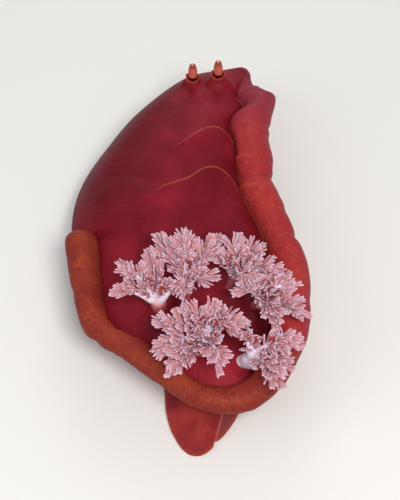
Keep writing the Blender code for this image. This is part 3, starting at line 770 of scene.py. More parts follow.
    def roll(self) -> list[Row]:
        """Lip and roll, from the crease over the top to the underside.

        Returns:
            Its lines.
        """
        under = math.radians(self.roll_under)
        lip_turn = self.lip_run / self.radius
        rows = []
        for step in range(self.lip_rows + self.roll_rows + 1):
            if step < self.lip_rows:
                angle = self.crease - lip_turn * step / self.lip_rows
            else:
                start = self.crease - lip_turn
                angle = start + (under - start) * (step - self.lip_rows) / self.roll_rows
            share = (self.crease - angle) / (self.crease - under)
            middle = float(np.mean(share))
            from_lip = (self.crease - angle) * self.radius - self.lip_middle
            bead = self.lip_height * self.curl * np.exp(-((from_lip / self.lip_width) ** 2))
            girth = middle * (self.girth_under - self.girth_crease)
            place = np.column_stack([self.ring, np.full(len(angle), girth)])
            fine = ripple(place, self.wrinkle_pitch, self.seeds[1])
            broad = ripple(place, self.swell_pitch, self.seeds[2])
            lapped, line = self.lapped(middle)
            runs = (middle * self.growth_ends[0], (1 - middle) * self.growth_ends[1])
            first, last = (math.sin(math.pi * min(run, 0.5)) for run in runs)
            grown = self.wrinkle * fine + self.roll_swell * broad
            grown = (grown + lapped - self.drawn_in(angle, middle)) * (0.25 + 0.75 * self.curl)
            radius = self.radius + bead + grown * (first * last)
            held = self.notches * self.curl * (1 - smooth(0.0, self.notch_fade, share))
            out = self.reach + radius * np.cos(angle) + held
            height = self.height + radius * np.sin(angle)
            values = {
                Zone.LIP: from_lip + LINE_BASE + self.lip_away * (1 - self.curl),
                Zone.ROLL: smooth(-0.2, 0.6, from_lip) * self.curl,
                Zone.LAP: line * self.curl,
                Zone.OUTER: smooth(*np.radians(self.outer_turns), angle),
            }
            rows.append(self.row(out, height, self.girth_crease + girth, values))
        return rows

    def crossing(self, outline: "Outline") -> Array:
        """Where the spokes leave an outline.

        Args:
            outline: outline of one level.

        Returns:
            Distance out along each spoke.
        """
        inside, outside = np.zeros(len(self.turns)), self.reach + self.plan.half_width
        for _ in range(self.halvings):
            middle = (inside + outside) / 2
            across, along = self.plan_at(middle)
            within = np.abs(across - outline.side(along)) < outline.at(along)
            inside = np.where(within, middle, inside)
            outside = np.where(within, outside, middle)
        return (inside + outside) / 2

    def tail_top(self, across: Array, along: Array) -> Array:
        """Height of the tail's upper side, with a ridge on its right.

        Args:
            across: places across.
            along: places along.

        Returns:
            One height a place.
        """
        share = np.clip((self.foot_rear - along) / (self.foot_rear - self.tail_tip), 0.0, 1.0)
        rise = (self.tail_height - self.foot_rim) * (1 - share) ** self.tail_fall
        foot = FootEdge(self)
        place = np.clip((across - foot.side(along)) / (foot.at(along) + 0.5), -1.0, 1.0)
        ridge = self.tail_ridge
        left = 1 - np.abs((ridge - place) / (1 + ridge)) ** self.tail_round_left
        right = 1 - np.abs((place - ridge) / (1 - ridge)) ** self.tail_round_right
        past = (place - ridge) * foot.at(along) / self.tail_line_width
        line = self.tail_line_height * np.exp(-(past**2)) * (1 - share) ** (self.tail_fall / 2)
        return self.foot_rim + rise * np.where(place < ridge, left, right) + line

    def lower(self) -> list[Row]:
        """Underside of the mantle, flanks, head, foot, tail and sole."""
        neck, flank, rim = (self.crossing(kind(self)) for kind in (Neck, Flank, FootEdge))
        return self.underside(neck) + self.flanks(neck, flank, rim) + self.sole(rim)

    def underside(self, neck: Array) -> list[Row]:
        """Underside of the mantle, from the roll in to the neck of the flanks.

        Args:
            neck: distance out of the neck on each spoke.

        Returns:
            The lines.
        """
        front = smooth(*self.front_from, np.cos(self.turns))
        under = math.radians(self.roll_under)
        start = self.reach + self.radius * math.cos(under)
        start_height = self.height + self.radius * math.sin(under)
        rows = []
        for step in range(1, self.under_rows + 1):
            share = step / self.under_rows
            sag = math.sin(math.pi * share) * self.under_sag * (1 - front)
            height = mix(start_height, self.neck_height, share**0.8) - sag
            values = {
                Zone.ROLL: (1 - share * 0.8) * self.curl,
                Zone.OUTER: np.full(len(neck), 1.0),
                Zone.FOOT: np.full(len(neck), share),
            }
            girth = mix(self.girth_under, self.girth_neck, share)
            rows.append(self.row(mix(start, neck, share), height, girth, values))
        return rows

    def flanks(self, neck: Array, flank: Array, rim: Array) -> list[Row]:
        """Flanks, head and tail, from the neck out and down to the rim of the foot.

        Args:
            neck: distance out of the neck on each spoke.
            flank: distance out of the widest level.
            rim: distance out of the foot's rim.

        Returns:
            The lines.
        """
        chin = flank - self.chin_depth * smooth(*self.front_from, np.cos(self.turns))
        shoulder = mix(neck, flank, 0.75)
        outs = np.stack([neck, shoulder, flank, chin, rim - 4.0, rim - 0.4, rim])
        levels = (self.neck_height, *self.flank_levels, self.foot_rim)
        keys, heights = np.array(self.flank_keys), np.array(levels)[:, None]
        rows = []
        for step in range(1, self.flank_rows + 1):
            share = np.array([step / self.flank_rows])
            even = mix(neck, rim, share[0])
            rear = smooth(*self.even_from, self.plan_at(even)[1])
            out = curve_through(keys, outs, share)[0]
            out = mix(out, even, rear)
            across, along = self.plan_at(out)
            behind = smooth(*self.tail_from, along) * (1 - smooth(0.9, 1.0, share)[0])
            top = self.tail_top(across, along)
            top = mix(top, self.neck_height, 1 - smooth(0.0, 0.2, share)[0])
            profile = curve_through(keys, heights, share)[0]
            height = mix(profile, top, behind)
            height = mix(height, self.foot_rim, smooth(0.96, 1.0, share)[0])
            edge = rim + self.rim_away * (1 - smooth(0.75, 0.92, share))
            girth = mix(self.girth_neck, self.girth_rim, share[0])
            rows.append(self.low_row(edge, out, height, girth))
        return rows

    def sole(self, rim: Array) -> list[Row]:
        """Rounded lower rim of the foot, and the flat sole in to the body axis.

        Args:
            rim: distance out of the foot's rim on each spoke.

        Returns:
            The lines.
        """
        rows = []
        for share in (0.35, 0.75, 1.0):
            turn = share * math.pi / 2
            out = rim - self.rim_round * (1 - math.cos(turn))
            height = np.full(len(rim), self.foot_rim * (1 - math.sin(turn)))
            rows.append(self.low_row(rim, out, height, self.girth_rim))
        sole = rim - self.rim_round
        for step in range(1, self.sole_rows + 1):
            share = step / self.sole_rows
            girth = mix(self.girth_rim, self.girth_sole, share)
            rows.append(self.low_row(rim, sole * (1 - share), np.zeros(len(rim)), girth))
        return rows

    def low_row(self, rim: Array, out: Array, height: Array, girth: float) -> Row:
        """Line of points on the foot, the tail or the head."""
        values = {Zone.FOOT: np.ones(len(out)), Zone.RIM: rim - out + LINE_BASE}
        return self.row(out, height, girth, values)

    def kind_of(self, mesh: bmesh.types.BMesh, zone: Zone) -> object:
        """Kind of layer that carries a value."""
        return mesh.verts.layers.float_vector if zone is Zone.RING else mesh.verts.layers.float

    def shape(self) -> bmesh.types.BMesh:
        """Closed surface through all the lines, laid on one grid.

        Returns:
            The surface, with what its points carry.
        """
        rows = self.back() + self.roll() + self.lower()
        count = len(self.turns)
        mesh = bmesh.new()
        for zone in Zone:
            self.kind_of(mesh, zone).new(zone.value)
        grid = bmesh.ops.create_grid(mesh, x_segments=count, y_segments=len(rows) - 1, size=1.0)
        layers = {zone: self.kind_of(mesh, zone)[zone.value] for zone in Zone}
        verts = iter(grid["verts"])
        for line in rows:
            points = (line.points * MM).tolist()
            carried = [(layers[zone], values.tolist()) for zone, values in line.values.items()]
            for index in range(count + 1):
                vert = next(verts)
                vert.co = points[index % count]
                for layer, values in carried:
                    vert[layer] = values[index % count]
        bmesh.ops.remove_doubles(mesh, verts=mesh.verts, dist=0.004 * MM)
        bmesh.ops.recalc_face_normals(mesh, faces=mesh.faces)
        return mesh


@dataclass
class Outline:
    """Half width of one level of the lower body, and how far its middle lies to the right."""

    skin: Skin

    def at(self, along: Array) -> Array:
        """Half width at a place along."""
        raise NotImplementedError

    def side(self, along: Array) -> Array:
        """Middle of the outline, to the right of the body axis."""
        raise NotImplementedError


class FootEdge(Outline):
    """Rim of the foot and the tail."""

    def halves(self, along: Array) -> Array:
        """Half widths to the left and to the right.

        Args:
            along: places along.

        Returns:
            One pair a place.
        """
        skin = self.skin
        stations = np.array(skin.foot_edge)
        reached = np.clip(along, skin.tail_tip + 0.1, 0.0)
        behind = curve_through(stations[:, 0], stations[:, 1:], reached)
        ahead = skin.foot_half_width * np.sqrt(1 - np.clip(along / skin.foot_front, 0.0, 1.0) ** 4)
        return np.where(along[:, None] > 0, ahead[:, None], behind)

    def at(self, along: Array) -> Array:
        """Half width at a place along."""
        closed = np.clip((along - self.skin.tail_tip) / 0.6, 0.0, 1.0)
        return np.mean(self.halves(along), axis=1) * np.sqrt(closed)

    def side(self, along: Array) -> Array:
        """Middle of the outline, to the right of the body axis."""
        halves = self.halves(along)
        return (halves[:, 1] - halves[:, 0]) / 2


class Neck(Outline):
    """Where the underside of the mantle meets the flank."""

    def at(self, along: Array) -> Array:
        """Half width.

        Args:
            along: places along.

        Returns:
            One half width a place.
        """
        skin = self.skin
        middle = (skin.neck_front + skin.neck_rear) / 2
        share = np.abs(along - middle) / ((skin.neck_front - skin.neck_rear) / 2)
        narrow = 1 - (1 - skin.head_narrow / skin.neck_half_width) * smooth(50.0, 80.0, along)
        return skin.neck_half_width * narrow * np.clip(1 - share**6, 0.0, 1.0) ** (1 / 3)

    def side(self, along: Array) -> Array:
        """Middle of the outline, to the right of the body axis."""
        return self.skin.head_shift * 0.5 * smooth(60.0, 84.0, along)


class Flank(Outline):
    """Widest level of the trunk and the head."""

    def at(self, along: Array) -> Array:
        """Half width.

        Args:
            along: places along.

        Returns:
            One half width a place.
        """
        skin = self.skin
        narrow = smooth(skin.head_from, skin.head_start, along)
        half = mix(skin.flank_half_width, skin.head_half_width, narrow)
        ahead = np.clip((along - skin.head_start) / (skin.head_front - skin.head_start), 0.0, 1.0)
        behind = np.clip(along / skin.flank_rear, 0.0, 1.0)
        return half * np.sqrt(1 - ahead**2.6) * (1 - behind**8) ** (1 / 3)

    def side(self, along: Array) -> Array:
        """Middle of the outline, to the right of the body axis."""
        tail = FootEdge(self.skin).side(along) * smooth(-80.0, -100.0, along)
        return tail + self.skin.head_shift * smooth(76.0, 92.0, along)


@dataclass(frozen=True)
class Lamp:
    """Soft square lamp."""

    name: str
    place: Triple
    size: float
    power: float
    colour: Colour


@dataclass(frozen=True)
class Studio:
    """Pale floor, soft lights and the camera."""

    azimuth: float = 6.0
    elevation: float = 57.0
    distance: float = 0.65
    lens: float = 80.0
    target: Triple = (0.0005, -0.0285, 0.03)
    floor_size: float = 3.0
    floor_colour: Colour = (0.8, 0.78, 0.75)
    floor_drop: float = 0.0002
    sky_colour: Colour = (0.9, 0.95, 1.0)
    sky_strength: float = 0.42
    lamps: tuple[Lamp, ...] = (
        Lamp("key", (0.24, -0.46, 0.84), 0.32, 6.2, (1.0, 0.97, 0.93)),
        Lamp("fill", (-0.7, -0.4, 0.6), 0.7, 2.0, (0.92, 0.96, 1.0)),
        Lamp("back", (-0.1, 0.8, 0.55), 0.5, 2.2, (1.0, 1.0, 1.0)),
    )

    def camera(self) -> None:
        """Set the camera at the photograph's angle."""
        turn, rise = math.radians(self.azimuth), math.radians(self.elevation)
        flat = math.cos(rise)
        back = Vector((math.sin(turn) * flat, -math.cos(turn) * flat, math.sin(rise)))
        data = bpy.data.cameras.new("camera")
        data.lens = self.lens
        data.clip_start = 0.01
        made = placed("camera", data)
        made.location = Vector(self.target) + back * self.distance
        made.rotation_euler = back.to_track_quat("Z", "Y").to_euler()
        bpy.context.scene.camera = made

    def floor(self) -> None:
        """Lay the floor."""
        mesh = bmesh.new()
        bmesh.ops.create_grid(mesh, x_segments=1, y_segments=1, size=self.floor_size)
        made = smooth_object(mesh, "floor")
        board = Board("floor")
        board.settle({"Base Color": (*self.floor_colour, 1.0), "Roughness": 0.8})
        made.data.materials.append(board.material)
        made.location.z = -self.floor_drop

    def light(self, lamp: Lamp) -> None:
        """Add one lamp aimed at the animal.

        Args:
            lamp: the lamp.
        """
        data = bpy.data.lights.new(lamp.name, "AREA")
        data.size = lamp.size
        data.energy = lamp.power
        data.color = lamp.colour
        made = placed(lamp.name, data)
        made.location = lamp.place
        away = made.location - Vector(self.target)
        made.rotation_euler = away.to_track_quat("Z", "Y").to_euler()

    def build(self) -> None:
        """Floor, lamps, sky and camera."""
        self.floor()
        for lamp in self.lamps:
            self.light(lamp)
        world = bpy.data.worlds.new("sky")
        world.use_nodes = True
        sky = world.node_tree.nodes["Background"]
        sky.inputs["Color"].default_value = (*self.sky_colour, 1.0)
        sky.inputs["Strength"].default_value = self.sky_strength
        bpy.context.scene.world = world
        bpy.context.scene.view_settings.view_transform = "Standard"
        self.camera()


class Board:
    """Material with its nodes, and short calls for the nodes that the finishes use."""

    def __init__(self, name: str) -> None:
        """Start a material with a Principled shader.

        Args:
            name: name of the material.
        """
        self.material = bpy.data.materials.new(name)
        self.material.use_nodes = True
        self.tree = self.material.node_tree
        self.shader = self.tree.nodes["Principled BSDF"]

    def made(
        self, kind: str, inputs: dict[int | str, Source], output: int | str = 0, **options: str
    ) -> Socket:
        """New node.

        Args:
            kind: its kind.
            inputs: links, numbers and colours for its inputs, by name or number.
            output: name or number of the output wanted.
            options: its settings, by name.

        Returns:
            The output.
        """
        node = self.tree.nodes.new("ShaderNode" + kind)
        for name, option in options.items():
            setattr(node, name, option)
        for key, source in inputs.items():
            self.feed(source, node.inputs[key])
        return node.outputs[output]

    def feed(self, source: Source, target: Socket) -> None:
        """Give a socket a link, a number or a colour.

        Args:
            source: what it gets.
            target: the socket.
        """
        if isinstance(source, Socket):
            self.tree.links.new(source, target)
        elif isinstance(source, tuple) and target.type == "RGBA":
            target.default_value = (*source, 1.0)
        else:
            target.default_value = source

    def settle(self, values: dict[str, Source]) -> None:
        """Set the shader's own sockets, by name."""
        for name, value in values.items():
            self.shader.inputs[name].default_value = value

    @cached_property
    def places(self) -> Socket:
        """Object coordinates."""
        return self.made("TexCoord", {}, "Object")

    @cached_property
    def east(self) -> Socket:
        """Object coordinate x, to the animal's right."""
        return self.part(self.places, "X")

    @cached_property
    def north(self) -> Socket:
        """Object coordinate y, to its head."""
        return self.part(self.places, "Y")

    def carried(self, zone: Enum, output: str = "Fac") -> Socket:
        """Value that the mesh carries on its points."""
        return self.made("Attribute", {}, output, attribute_name=zone.value)

    def part(self, vector: Socket, axis: str) -> Socket:
        """One of the three parts of a vector."""
        return self.made("SeparateXYZ", {0: vector}, axis)

    def maths(self, operation: str, first: Source, second: Source = 0.0) -> Socket:
        """Sum, product or other of two numbers."""
        return self.made("Math", {0: first, 1: second}, operation=operation)

    def times(self, *factors: Source) -> Source:
        """Product of several numbers."""
        return reduce(partial(self.maths, "MULTIPLY"), factors)

    def minus(self, first: Source, second: Source) -> Socket:
        """Difference of two numbers."""
        return self.maths("SUBTRACT", first, second)

    def span(self, value: Source, low: float, high: float) -> Socket:
        """Share from 0 at low to 1 at high, with soft ends."""
        inputs = {"Value": value, "From Min": low, "From Max": high}
        return self.made("MapRange", inputs, interpolation_type="SMOOTHSTEP")

    def cloud(
        self, scale: float, detail: float = 2.0, at: Socket | None = None, warp: float = 0.0,
        output: str = "Fac",
    ) -> Socket:
        """Soft random pattern, on the object's coordinates if no others are given."""
        inputs = {"Vector": at or self.places, "Scale": scale, "Detail": detail, "Distortion": warp}
        return self.made("TexNoise", inputs, output)

    def cells(self, at: Socket, scale: float) -> Socket:
        """Distance to the border between random cells."""
        inputs = {"Vector": at, "Scale": scale}
        return self.made("TexVoronoi", inputs, "Distance", feature="DISTANCE_TO_EDGE")

    def past(self, zone: Zone) -> Socket:
        """Signed distance in millimetres that the mesh carries."""
        return self.minus(self.carried(zone), LINE_BASE)

    def line(self, distance: Source, near: float, far: float) -> Socket:
        """Share from 1 on a line, up to a near distance, to 0 beyond a far one."""
        return self.span(self.maths("ABSOLUTE", distance), far, near)

    def blend(self, share: Source, first: Source, second: Source) -> Socket:
        """Mix of two colours."""
        return self.made("Mix", {0: share, 6: first, 7: second}, 2, data_type="RGBA")

    def over(self, below: Source, colour: Source, *shares: Source) -> Socket:
        """Colour laid over another one, at the product of some shares."""
        return self.blend(self.times(*shares), below, colour)

    def layered(self, colour: Source, *layers: tuple[Source, ...]) -> Source:
        """Colour under several others.

        Args:
            colour: the lowest.
            layers: each a colour and the shares that it is laid at.

        Returns:
            The mix.
        """
        for layer, *shares in layers:
            colour = self.over(colour, layer, *shares)
        return colour

    def scaled(self, at: Socket, scale: Triple) -> Socket:
        """Coordinates stretched along their axes."""
        return self.made("Mapping", {"Vector": at, "Scale": scale})

    def shifted(self, at: Socket, by: Socket) -> Socket:
        """Coordinates moved by a vector."""
        return self.made("VectorMath", {0: at, 1: by}, operation="ADD")

    def relief(self, height: Socket, distance: float, strength: float) -> None:
        """Give the shader the normals of a fine relief."""
        inputs = {"Height": height, "Distance": distance, "Strength": strength}
        self.feed(self.made("Bump", inputs), self.shader.inputs["Normal"])


class Tint(Enum):
    """Name of the colour that gills and clubs carry on their points."""

    COLOUR = "tint"


@dataclass(frozen=True)
class Form:
    """Small closed form, one long, that is arrayed and set along many curves.

    Its section is drawn with a half width and half height of one, and its rows of points
    carry the share of the length and of the section, with a point at each end.
    """

    section: Pairs
    stations: Pairs
    colours: tuple[Colour, ...] = ()
    tip: Colour = (0.0, 0.0, 0.0)
    tip_from: float = 0.8

    def make(self) -> tuple[bpy.types.Mesh, Array]:
        """Build one form.

        Returns:
            Its mesh and its points, as across, up and share of the length.
        """
        sides, rows = len(self.section), len(self.stations)
        mesh = bmesh.new()
        mesh.loops.layers.uv.new(BAKE_MAP)
        bmesh.ops.create_grid(mesh, x_segments=sides, y_segments=rows - 1, size=0.5, calc_uvs=True)
        for vert in mesh.verts:
            side = round((vert.co.x + 0.5) * sides) % sides
            share, width = self.stations[round((vert.co.y + 0.5) * (rows - 1))]
            across, up = self.section[side]
            vert.co = (across * width, up * width, share)
        bmesh.ops.remove_doubles(mesh, verts=mesh.verts, dist=1e-5)
        bmesh.ops.recalc_face_normals(mesh, faces=mesh.faces)
        data = mesh_of(mesh, "form")
        return data, points_of(data)

    def tints(self, points: Array) -> Array:
        """Colours of one form, paler at the tip.

        Args:
            points: its points.

        Returns:
            One colour a point.
        """
        width = np.maximum(np.linalg.norm(points[:, :2], axis=1), 1e-6)
        facing = points[:, :2] / width[:, None] @ unit(np.array(self.section)).T
        colours = np.array(self.colours)[np.argmax(facing, axis=1)]
        share = smooth(self.tip_from, 1.0, points[:, 2])[:, None]
        return mix(colours, np.array(self.tip), share)


@dataclass
class Strands:
    """Many curves in space, each with its width, thickness and facing."""

    start: Array
    middle: Array
    end: Array
    facing: Array
    width: Array
    thick: Array

    @staticmethod
    def joined(parts: tuple["Strands", ...]) -> "Strands":
        """One set from several."""
        names = ("start", "middle", "end", "facing", "width", "thick")
        return Strands(*(np.concatenate([getattr(part, name) for part in parts]) for name in names))

    def level(self, points: Array) -> Array:
        """Points with the tops of the highest ones pressed under one height.

        Args:
            points: the points, which are changed.

        Returns:
            The same points.
        """
        above = np.maximum(points[..., 2] - PRESS_FROM, 0.0)
        room = TOP - PRESS_FROM
        points[..., 2] += room * np.tanh(above / room) - above
        return points

    def place(self, form: Array) -> Array:
        """Points of the form set along each curve.

        Args:
            form: points of one form, as across, up and share of the length.

        Returns:
            Points, curve by curve, in millimetres.
        """
        share = form[:, 2][None, :, None]
        start, middle, end = (part[:, None, :] for part in (self.start, self.middle, self.end))
        place = arc(start, middle, end, share)
        ahead = unit((middle - start) * (1 - share) + (end - middle) * share)
        side = unit(np.cross(ahead, self.facing[:, None, :]))
        up = np.cross(side, ahead)
        across = form[:, 0][None, :, None] * self.width[:, None, None]
        raised = form[:, 1][None, :, None] * self.thick[:, None, None]
        return self.level(place + side * across + up * raised)


def arrayed(form: bpy.types.Mesh, count: int) -> bpy.types.Mesh:
    """Mesh of many copies of one form.

    Args:
        form: mesh of one.
        count: number of copies.

    Returns:
        One mesh, copy by copy.
    """
    holder = placed("array", form)
    array = holder.modifiers.new("array", "ARRAY")
    array.count = count
    array.use_relative_offset = False
    mesh = evaluated(holder)
    bpy.data.objects.remove(holder)
    return mesh


def set_points(mesh: bpy.types.Mesh, points: Array) -> None:
    """Move a mesh's points to places in millimetres."""
    mesh.vertices.foreach_set("co", (points.reshape(-1) * MM).astype(np.float32))
    mesh.update()


def paint(mesh: bpy.types.Mesh, colours: Array) -> None:
    """Give a mesh's points their colours.

    Args:
        mesh: the mesh.
        colours: one colour a point.
    """
    layer = mesh.color_attributes.new(Tint.COLOUR.value, "FLOAT_COLOR", "POINT")
    full = np.column_stack([colours, np.ones(len(colours))])
    layer.data.foreach_set("color", full.reshape(-1).astype(np.float32))


def map_cells(count: int, index: Array, band: Pair) -> tuple[Array, Array]:
    """Cells of the colour map in rows.

    Args:
        count: number of cells.
        index: cells to read.
        band: lowest and highest place of the cells on the map.

    Returns:
        The lower left corner of each cell read, and the size of a cell.
    """
    columns = math.ceil(math.sqrt(count))
    size = np.array([1 / columns, (band[1] - band[0]) / math.ceil(count / columns)])
    return np.stack([index % columns, index // columns], axis=-1) * size + [0, band[0]], size


def spread_map(mesh: bpy.types.Mesh, count: int, band: Pair) -> None:
    """Give each copy its own cell of the colour map.

    Args:
        mesh: mesh of many copies, with the map of one form on each.
        count: number of copies.
        band: lowest and highest place of the cells.
    """
    layer = mesh.uv_layers[0]
    layer.name = BAKE_MAP
    places = np.empty(len(mesh.loops) * 2, np.float32)
    layer.uv.foreach_get("vector", places)
    corner, size = map_cells(count, np.arange(count), band)
    inset = places.reshape(count, -1, 2) * (1 - 2 * CELL_RIM) + CELL_RIM
    set_map(layer, corner[:, None, :] + inset * size)


def map_faces(mesh: bpy.types.Mesh, band: Pair) -> None:
    """Give each face its own cell of the colour map.

    Args:
        mesh: the mesh.
        band: lowest and highest place of the cells.
    """
    layer = mesh.uv_layers.new(name=BAKE_MAP)
    count = len(mesh.polygons)
    totals = np.empty(count, int)
    mesh.polygons.foreach_get("loop_total", totals)
    face = np.repeat(np.arange(count), totals)
    turn = np.arange(len(mesh.loops)) - np.repeat(np.cumsum(totals) - totals, totals)
    square = np.array([[0.15, 0.15], [0.85, 0.15], [0.85, 0.85], [0.15, 0.85]])
    corner, size = map_cells(count, face, band)
    set_map(layer, corner + square[turn % 4] * size)


def set_map(layer: bpy.types.MeshUVLoopLayer, places: Array) -> None:
    """Write the places of a colour map."""
    layer.uv.foreach_set("vector", places.reshape(-1).astype(np.float32))


@dataclass(frozen=True)
class GillColours:
    """Colours of the gills."""

    stem: Colour = linear(246, 234, 252)
    stem_foot: Colour = linear(176, 70, 80)
    ridge: Colour = linear(214, 188, 204)
    groove: Colour = linear(206, 62, 46)
    flank: Colour = linear(178, 42, 44)
    under: Colour = linear(176, 62, 66)
    tip: Colour = linear(224, 200, 222)


@dataclass(frozen=True)
class GillPlan:
    """Where one gill stands, and the bearings and reaches of its fronds from the head clockwise."""

    across: float
    along: float
    bearings: tuple[float, ...]
    reaches: tuple[float, ...]
    # Share of each frond that is bare, and whether its rear side is, so that the limb shows
    bare: tuple[float, ...] = ()
    bare_rear: tuple[bool, ...] = ()
    girth: float = 1.0
    blush: float = 1.0
    lean: float = 5.0
    rise_power: float = 0.8


GILLS = (
    GillPlan(
        -17, -77, (-100, -62, -16, 84), (24, 27, 26, 17),
        bare=(0.2, 0.16, 0.16, 0.2), bare_rear=(True, False, False, True), girth=1.3,
        lean=1.0, rise_power=1.15,
    ),
    GillPlan(-3, -69, (-35, -8, 26, 75, 190), (33, 31, 34, 17, 13)),
    GillPlan(20, -60, (-22, 8, 44, 85, 117), (13, 22, 25, 29, 18)),
    GillPlan(35, -69, (50, 88, 118, 148, 215), (8, 23, 32, 28, 14)),
    GillPlan(
        32, -102, (62, 91, 119, 139), (9, 30, 29, 32),
        bare=(0.16, 0.3, 0.3, 0.36), girth=1.4, blush=0.0,
    ),
    GillPlan(13, -95, (-149, -128, -93, -62, -4, 50, 85, 165), (37, 35, 30, 18, 14, 16, 20, 29)),
)


@dataclass
class Gill:
    """One branched gill: a thick stem, fronds, and leaves of close soft fingers on each frond."""

    number: int
    plan: GillPlan
    seed: int
    tones: GillColours = field(default_factory=GillColours)
    trunk_height: float = 7.0
    trunk_radius: float = 3.1
    trunk_beads: int = 10
    trunk_sink: float = 2.5
    blush_heights: Pair = (7.0, 12.0)
    end_height: float = 61.0
    lifts: tuple[float, ...] = (0.0, 3.0, -2.0)
    limb_radius: float = 2.3
    limb_end: float = 0.8
    limb_beads: int = 30
    voxel: float = 0.6
    ease_rounds: int = 6
    frond_short: float = 8.5
    frond_rise: float = 12.0
    first_leaf: float = 0.16
    leaf_pitch: float = 2.6
    leaf_length: float = 9.8
    leaf_sizes: Pair = (0.85, 1.12)
    # Leaves that point further to the rear than the first, nearer than the second, may be bare
    rear_skip: Pair = (-0.3, 0.75)
    leaf_rolls: tuple[float, ...] = (80.0, -80.0, 8.0, 46.0, -46.0)
    leaf_spread: Pair = (43.0, 20.0)
    last_spread: float = 4.0
    # Random turns of a leaf about its frond and away from it, in radians, and of its upper side
    roll_sway: float = 0.12
    spread_sway: float = 0.08
    sky_sway: float = 0.2
    leaf_curl: Pair = (0.02, 0.22)
    rib_width: float = 0.85
    rib_middle: float = 0.55
    finger_pitch: float = 1.8
    finger_length: float = 8.0
    finger_sizes: Pair = (0.9, 1.1)
    finger_angle: Pair = (29.0, 7.0)
    finger_width: float = 0.7
    finger_widths: Pair = (0.92, 1.1)
    finger_thick: float = 0.7
    # Random turn of a finger, its slope up at first and down further out, and its sideways sway
    angle_sway: float = 0.06
    finger_rise: Pair = (0.2, 0.34)
    finger_droop: Pair = (-0.3, -0.05)
    finger_sway: float = 0.16
    finger_turn: float = 0.35
    shades: Pair = (0.88, 1.08)
    finger_section: Pairs = (
        (0.0, -0.7), (1.0, 0.05), (0.74, 0.7), (0.0, 0.36), (-0.74, 0.7), (-1.0, 0.05),
    )
    finger_stations: Pairs = (
        (0.0, 0.0), (0.0, 0.6), (0.35, 0.88), (0.7, 1.0), (0.9, 0.82), (0.98, 0.45), (1.0, 0.0),
    )
    rib_sides: int = 8
    rib_stations: Pairs = (
        (0.0, 0.0), (0.0, 1.1), (0.4, 0.95), (0.8, 0.7), (1.0, 0.5), (1.0, 0.0),
    )
    # Bands of the colour map for the ribs, the fingers and the stem
    map_bands: Pairs = ((0.0, 0.1), (0.1, 0.85), (0.85, 1.0))

    def __post_init__(self) -> None:
        """Take the stand of the stem from the solid model, and seed the variation."""
        self.random = np.random.default_rng(self.seed)
        low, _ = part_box(f"gill_{self.number}")
        self.base = np.array([self.plan.across, self.plan.along, low.z / MM])
        self.sky = np.array([0.0, 0.0, 1.0])
        bearings, reaches = np.radians(self.plan.bearings), np.array(self.plan.reaches)
        self.ways = np.stack([np.sin(bearings), np.cos(bearings), np.zeros(len(bearings))], axis=1)
        pull = (self.ways * reaches[:, None]).sum(axis=0) / reaches.sum()
        self.leaning = pull * self.plan.lean

    def frond(self, index: int, share: Array) -> Array:
        """Points along one frond.

        Args:
            index: number of the frond.
            share: shares of its length.

        Returns:
            One point a share.
        """
        low = self.base + self.sky * (0.7 * self.trunk_height)
        leaning = self.leaning * (1 - share)[:, None]
        end = self.end_height + self.lifts[index % len(self.lifts)]
        rise = (end - low[2]) * np.sin(np.pi / 2 * share**self.plan.rise_power)
        reach = self.plan.reaches[index] - self.frond_short
        return low + leaning + self.ways[index] * (reach * share)[:, None] + self.sky * rise[:, None]

    def stem(self) -> bpy.types.Mesh:
        """Stem and limbs, fused into one soft form from a run of balls.

        Returns:
            Its mesh, in millimetres.
        """
        girth = self.plan.girth
        beads = []
        for share in np.linspace(0, 1, self.trunk_beads):
            waist = 1.2 - 0.3 * math.sin(math.pi * min(share * 1.2, 1))
            up = self.sky * ((self.trunk_height + 1.0) * share - self.trunk_sink)
            place = self.base + up + self.leaning * share**1.5
            beads.append((place, girth * self.trunk_radius * waist))
        shares = np.linspace(0, 1, self.limb_beads)
        thick = self.limb_radius * girth
        for index in range(len(self.ways)):
            radii = mix(thick, self.limb_end, shares**0.8)
            beads += zip(self.frond(index, shares), radii)
        mesh = bmesh.new()
        for place, radius in beads:
            where = Matrix.Translation(place)
            bmesh.ops.create_icosphere(mesh, subdivisions=2, radius=radius, matrix=where)
        return fused(mesh, self.voxel, self.ease_rounds)

    def leaves(self) -> tuple[Strands, Strands]:
        """Ribs and fingers of all the leaves.

        Returns:
            The ribs and the fingers.
        """
        leaves = []
        for index, reach in enumerate(self.plan.reaches):
            length = float(np.hypot(reach, self.frond_rise))
            count = max(4, round(length * (1 - self.first_leaf) / self.leaf_pitch))
            first = self.plan.bare[index] if self.plan.bare else self.first_leaf
            rear_bare = bool(self.plan.bare_rear) and self.plan.bare_rear[index]
            shares = np.linspace(first, 1.0, count + 1)
            places = self.frond(index, shares)
            ahead = unit(self.frond(index, shares + 0.01) - self.frond(index, shares - 0.01))
            side = unit(np.cross(ahead, self.sky))
            up = np.cross(side, ahead)
            for step, share in enumerate(shares):
                roll = math.radians(self.leaf_rolls[step % len(self.leaf_rolls)])
                roll += self.random.normal(0, self.roll_sway)
                spread = mix(*self.leaf_spread, share**1.5)
                spread = math.radians(self.last_spread if step == count else spread)
                spread += self.random.normal(0, self.spread_sway)
                out = side[step] * math.sin(roll) + up[step] * math.cos(roll)
                if rear_bare and out[1] < self.rear_skip[0] and share < self.rear_skip[1]:
                    continue
                way = unit(ahead[step] * math.cos(spread) + out * math.sin(spread))
                size = self.leaf_length * (0.72 + 0.5 * math.sin(math.pi * min(share, 0.95) ** 1.2))
                size *= self.random.uniform(*self.leaf_sizes)
                leaves.append(self.leaf(places[step], way, size))
        ribs, fingers = zip(*leaves)
        return Strands.joined(ribs), Strands.joined(fingers)

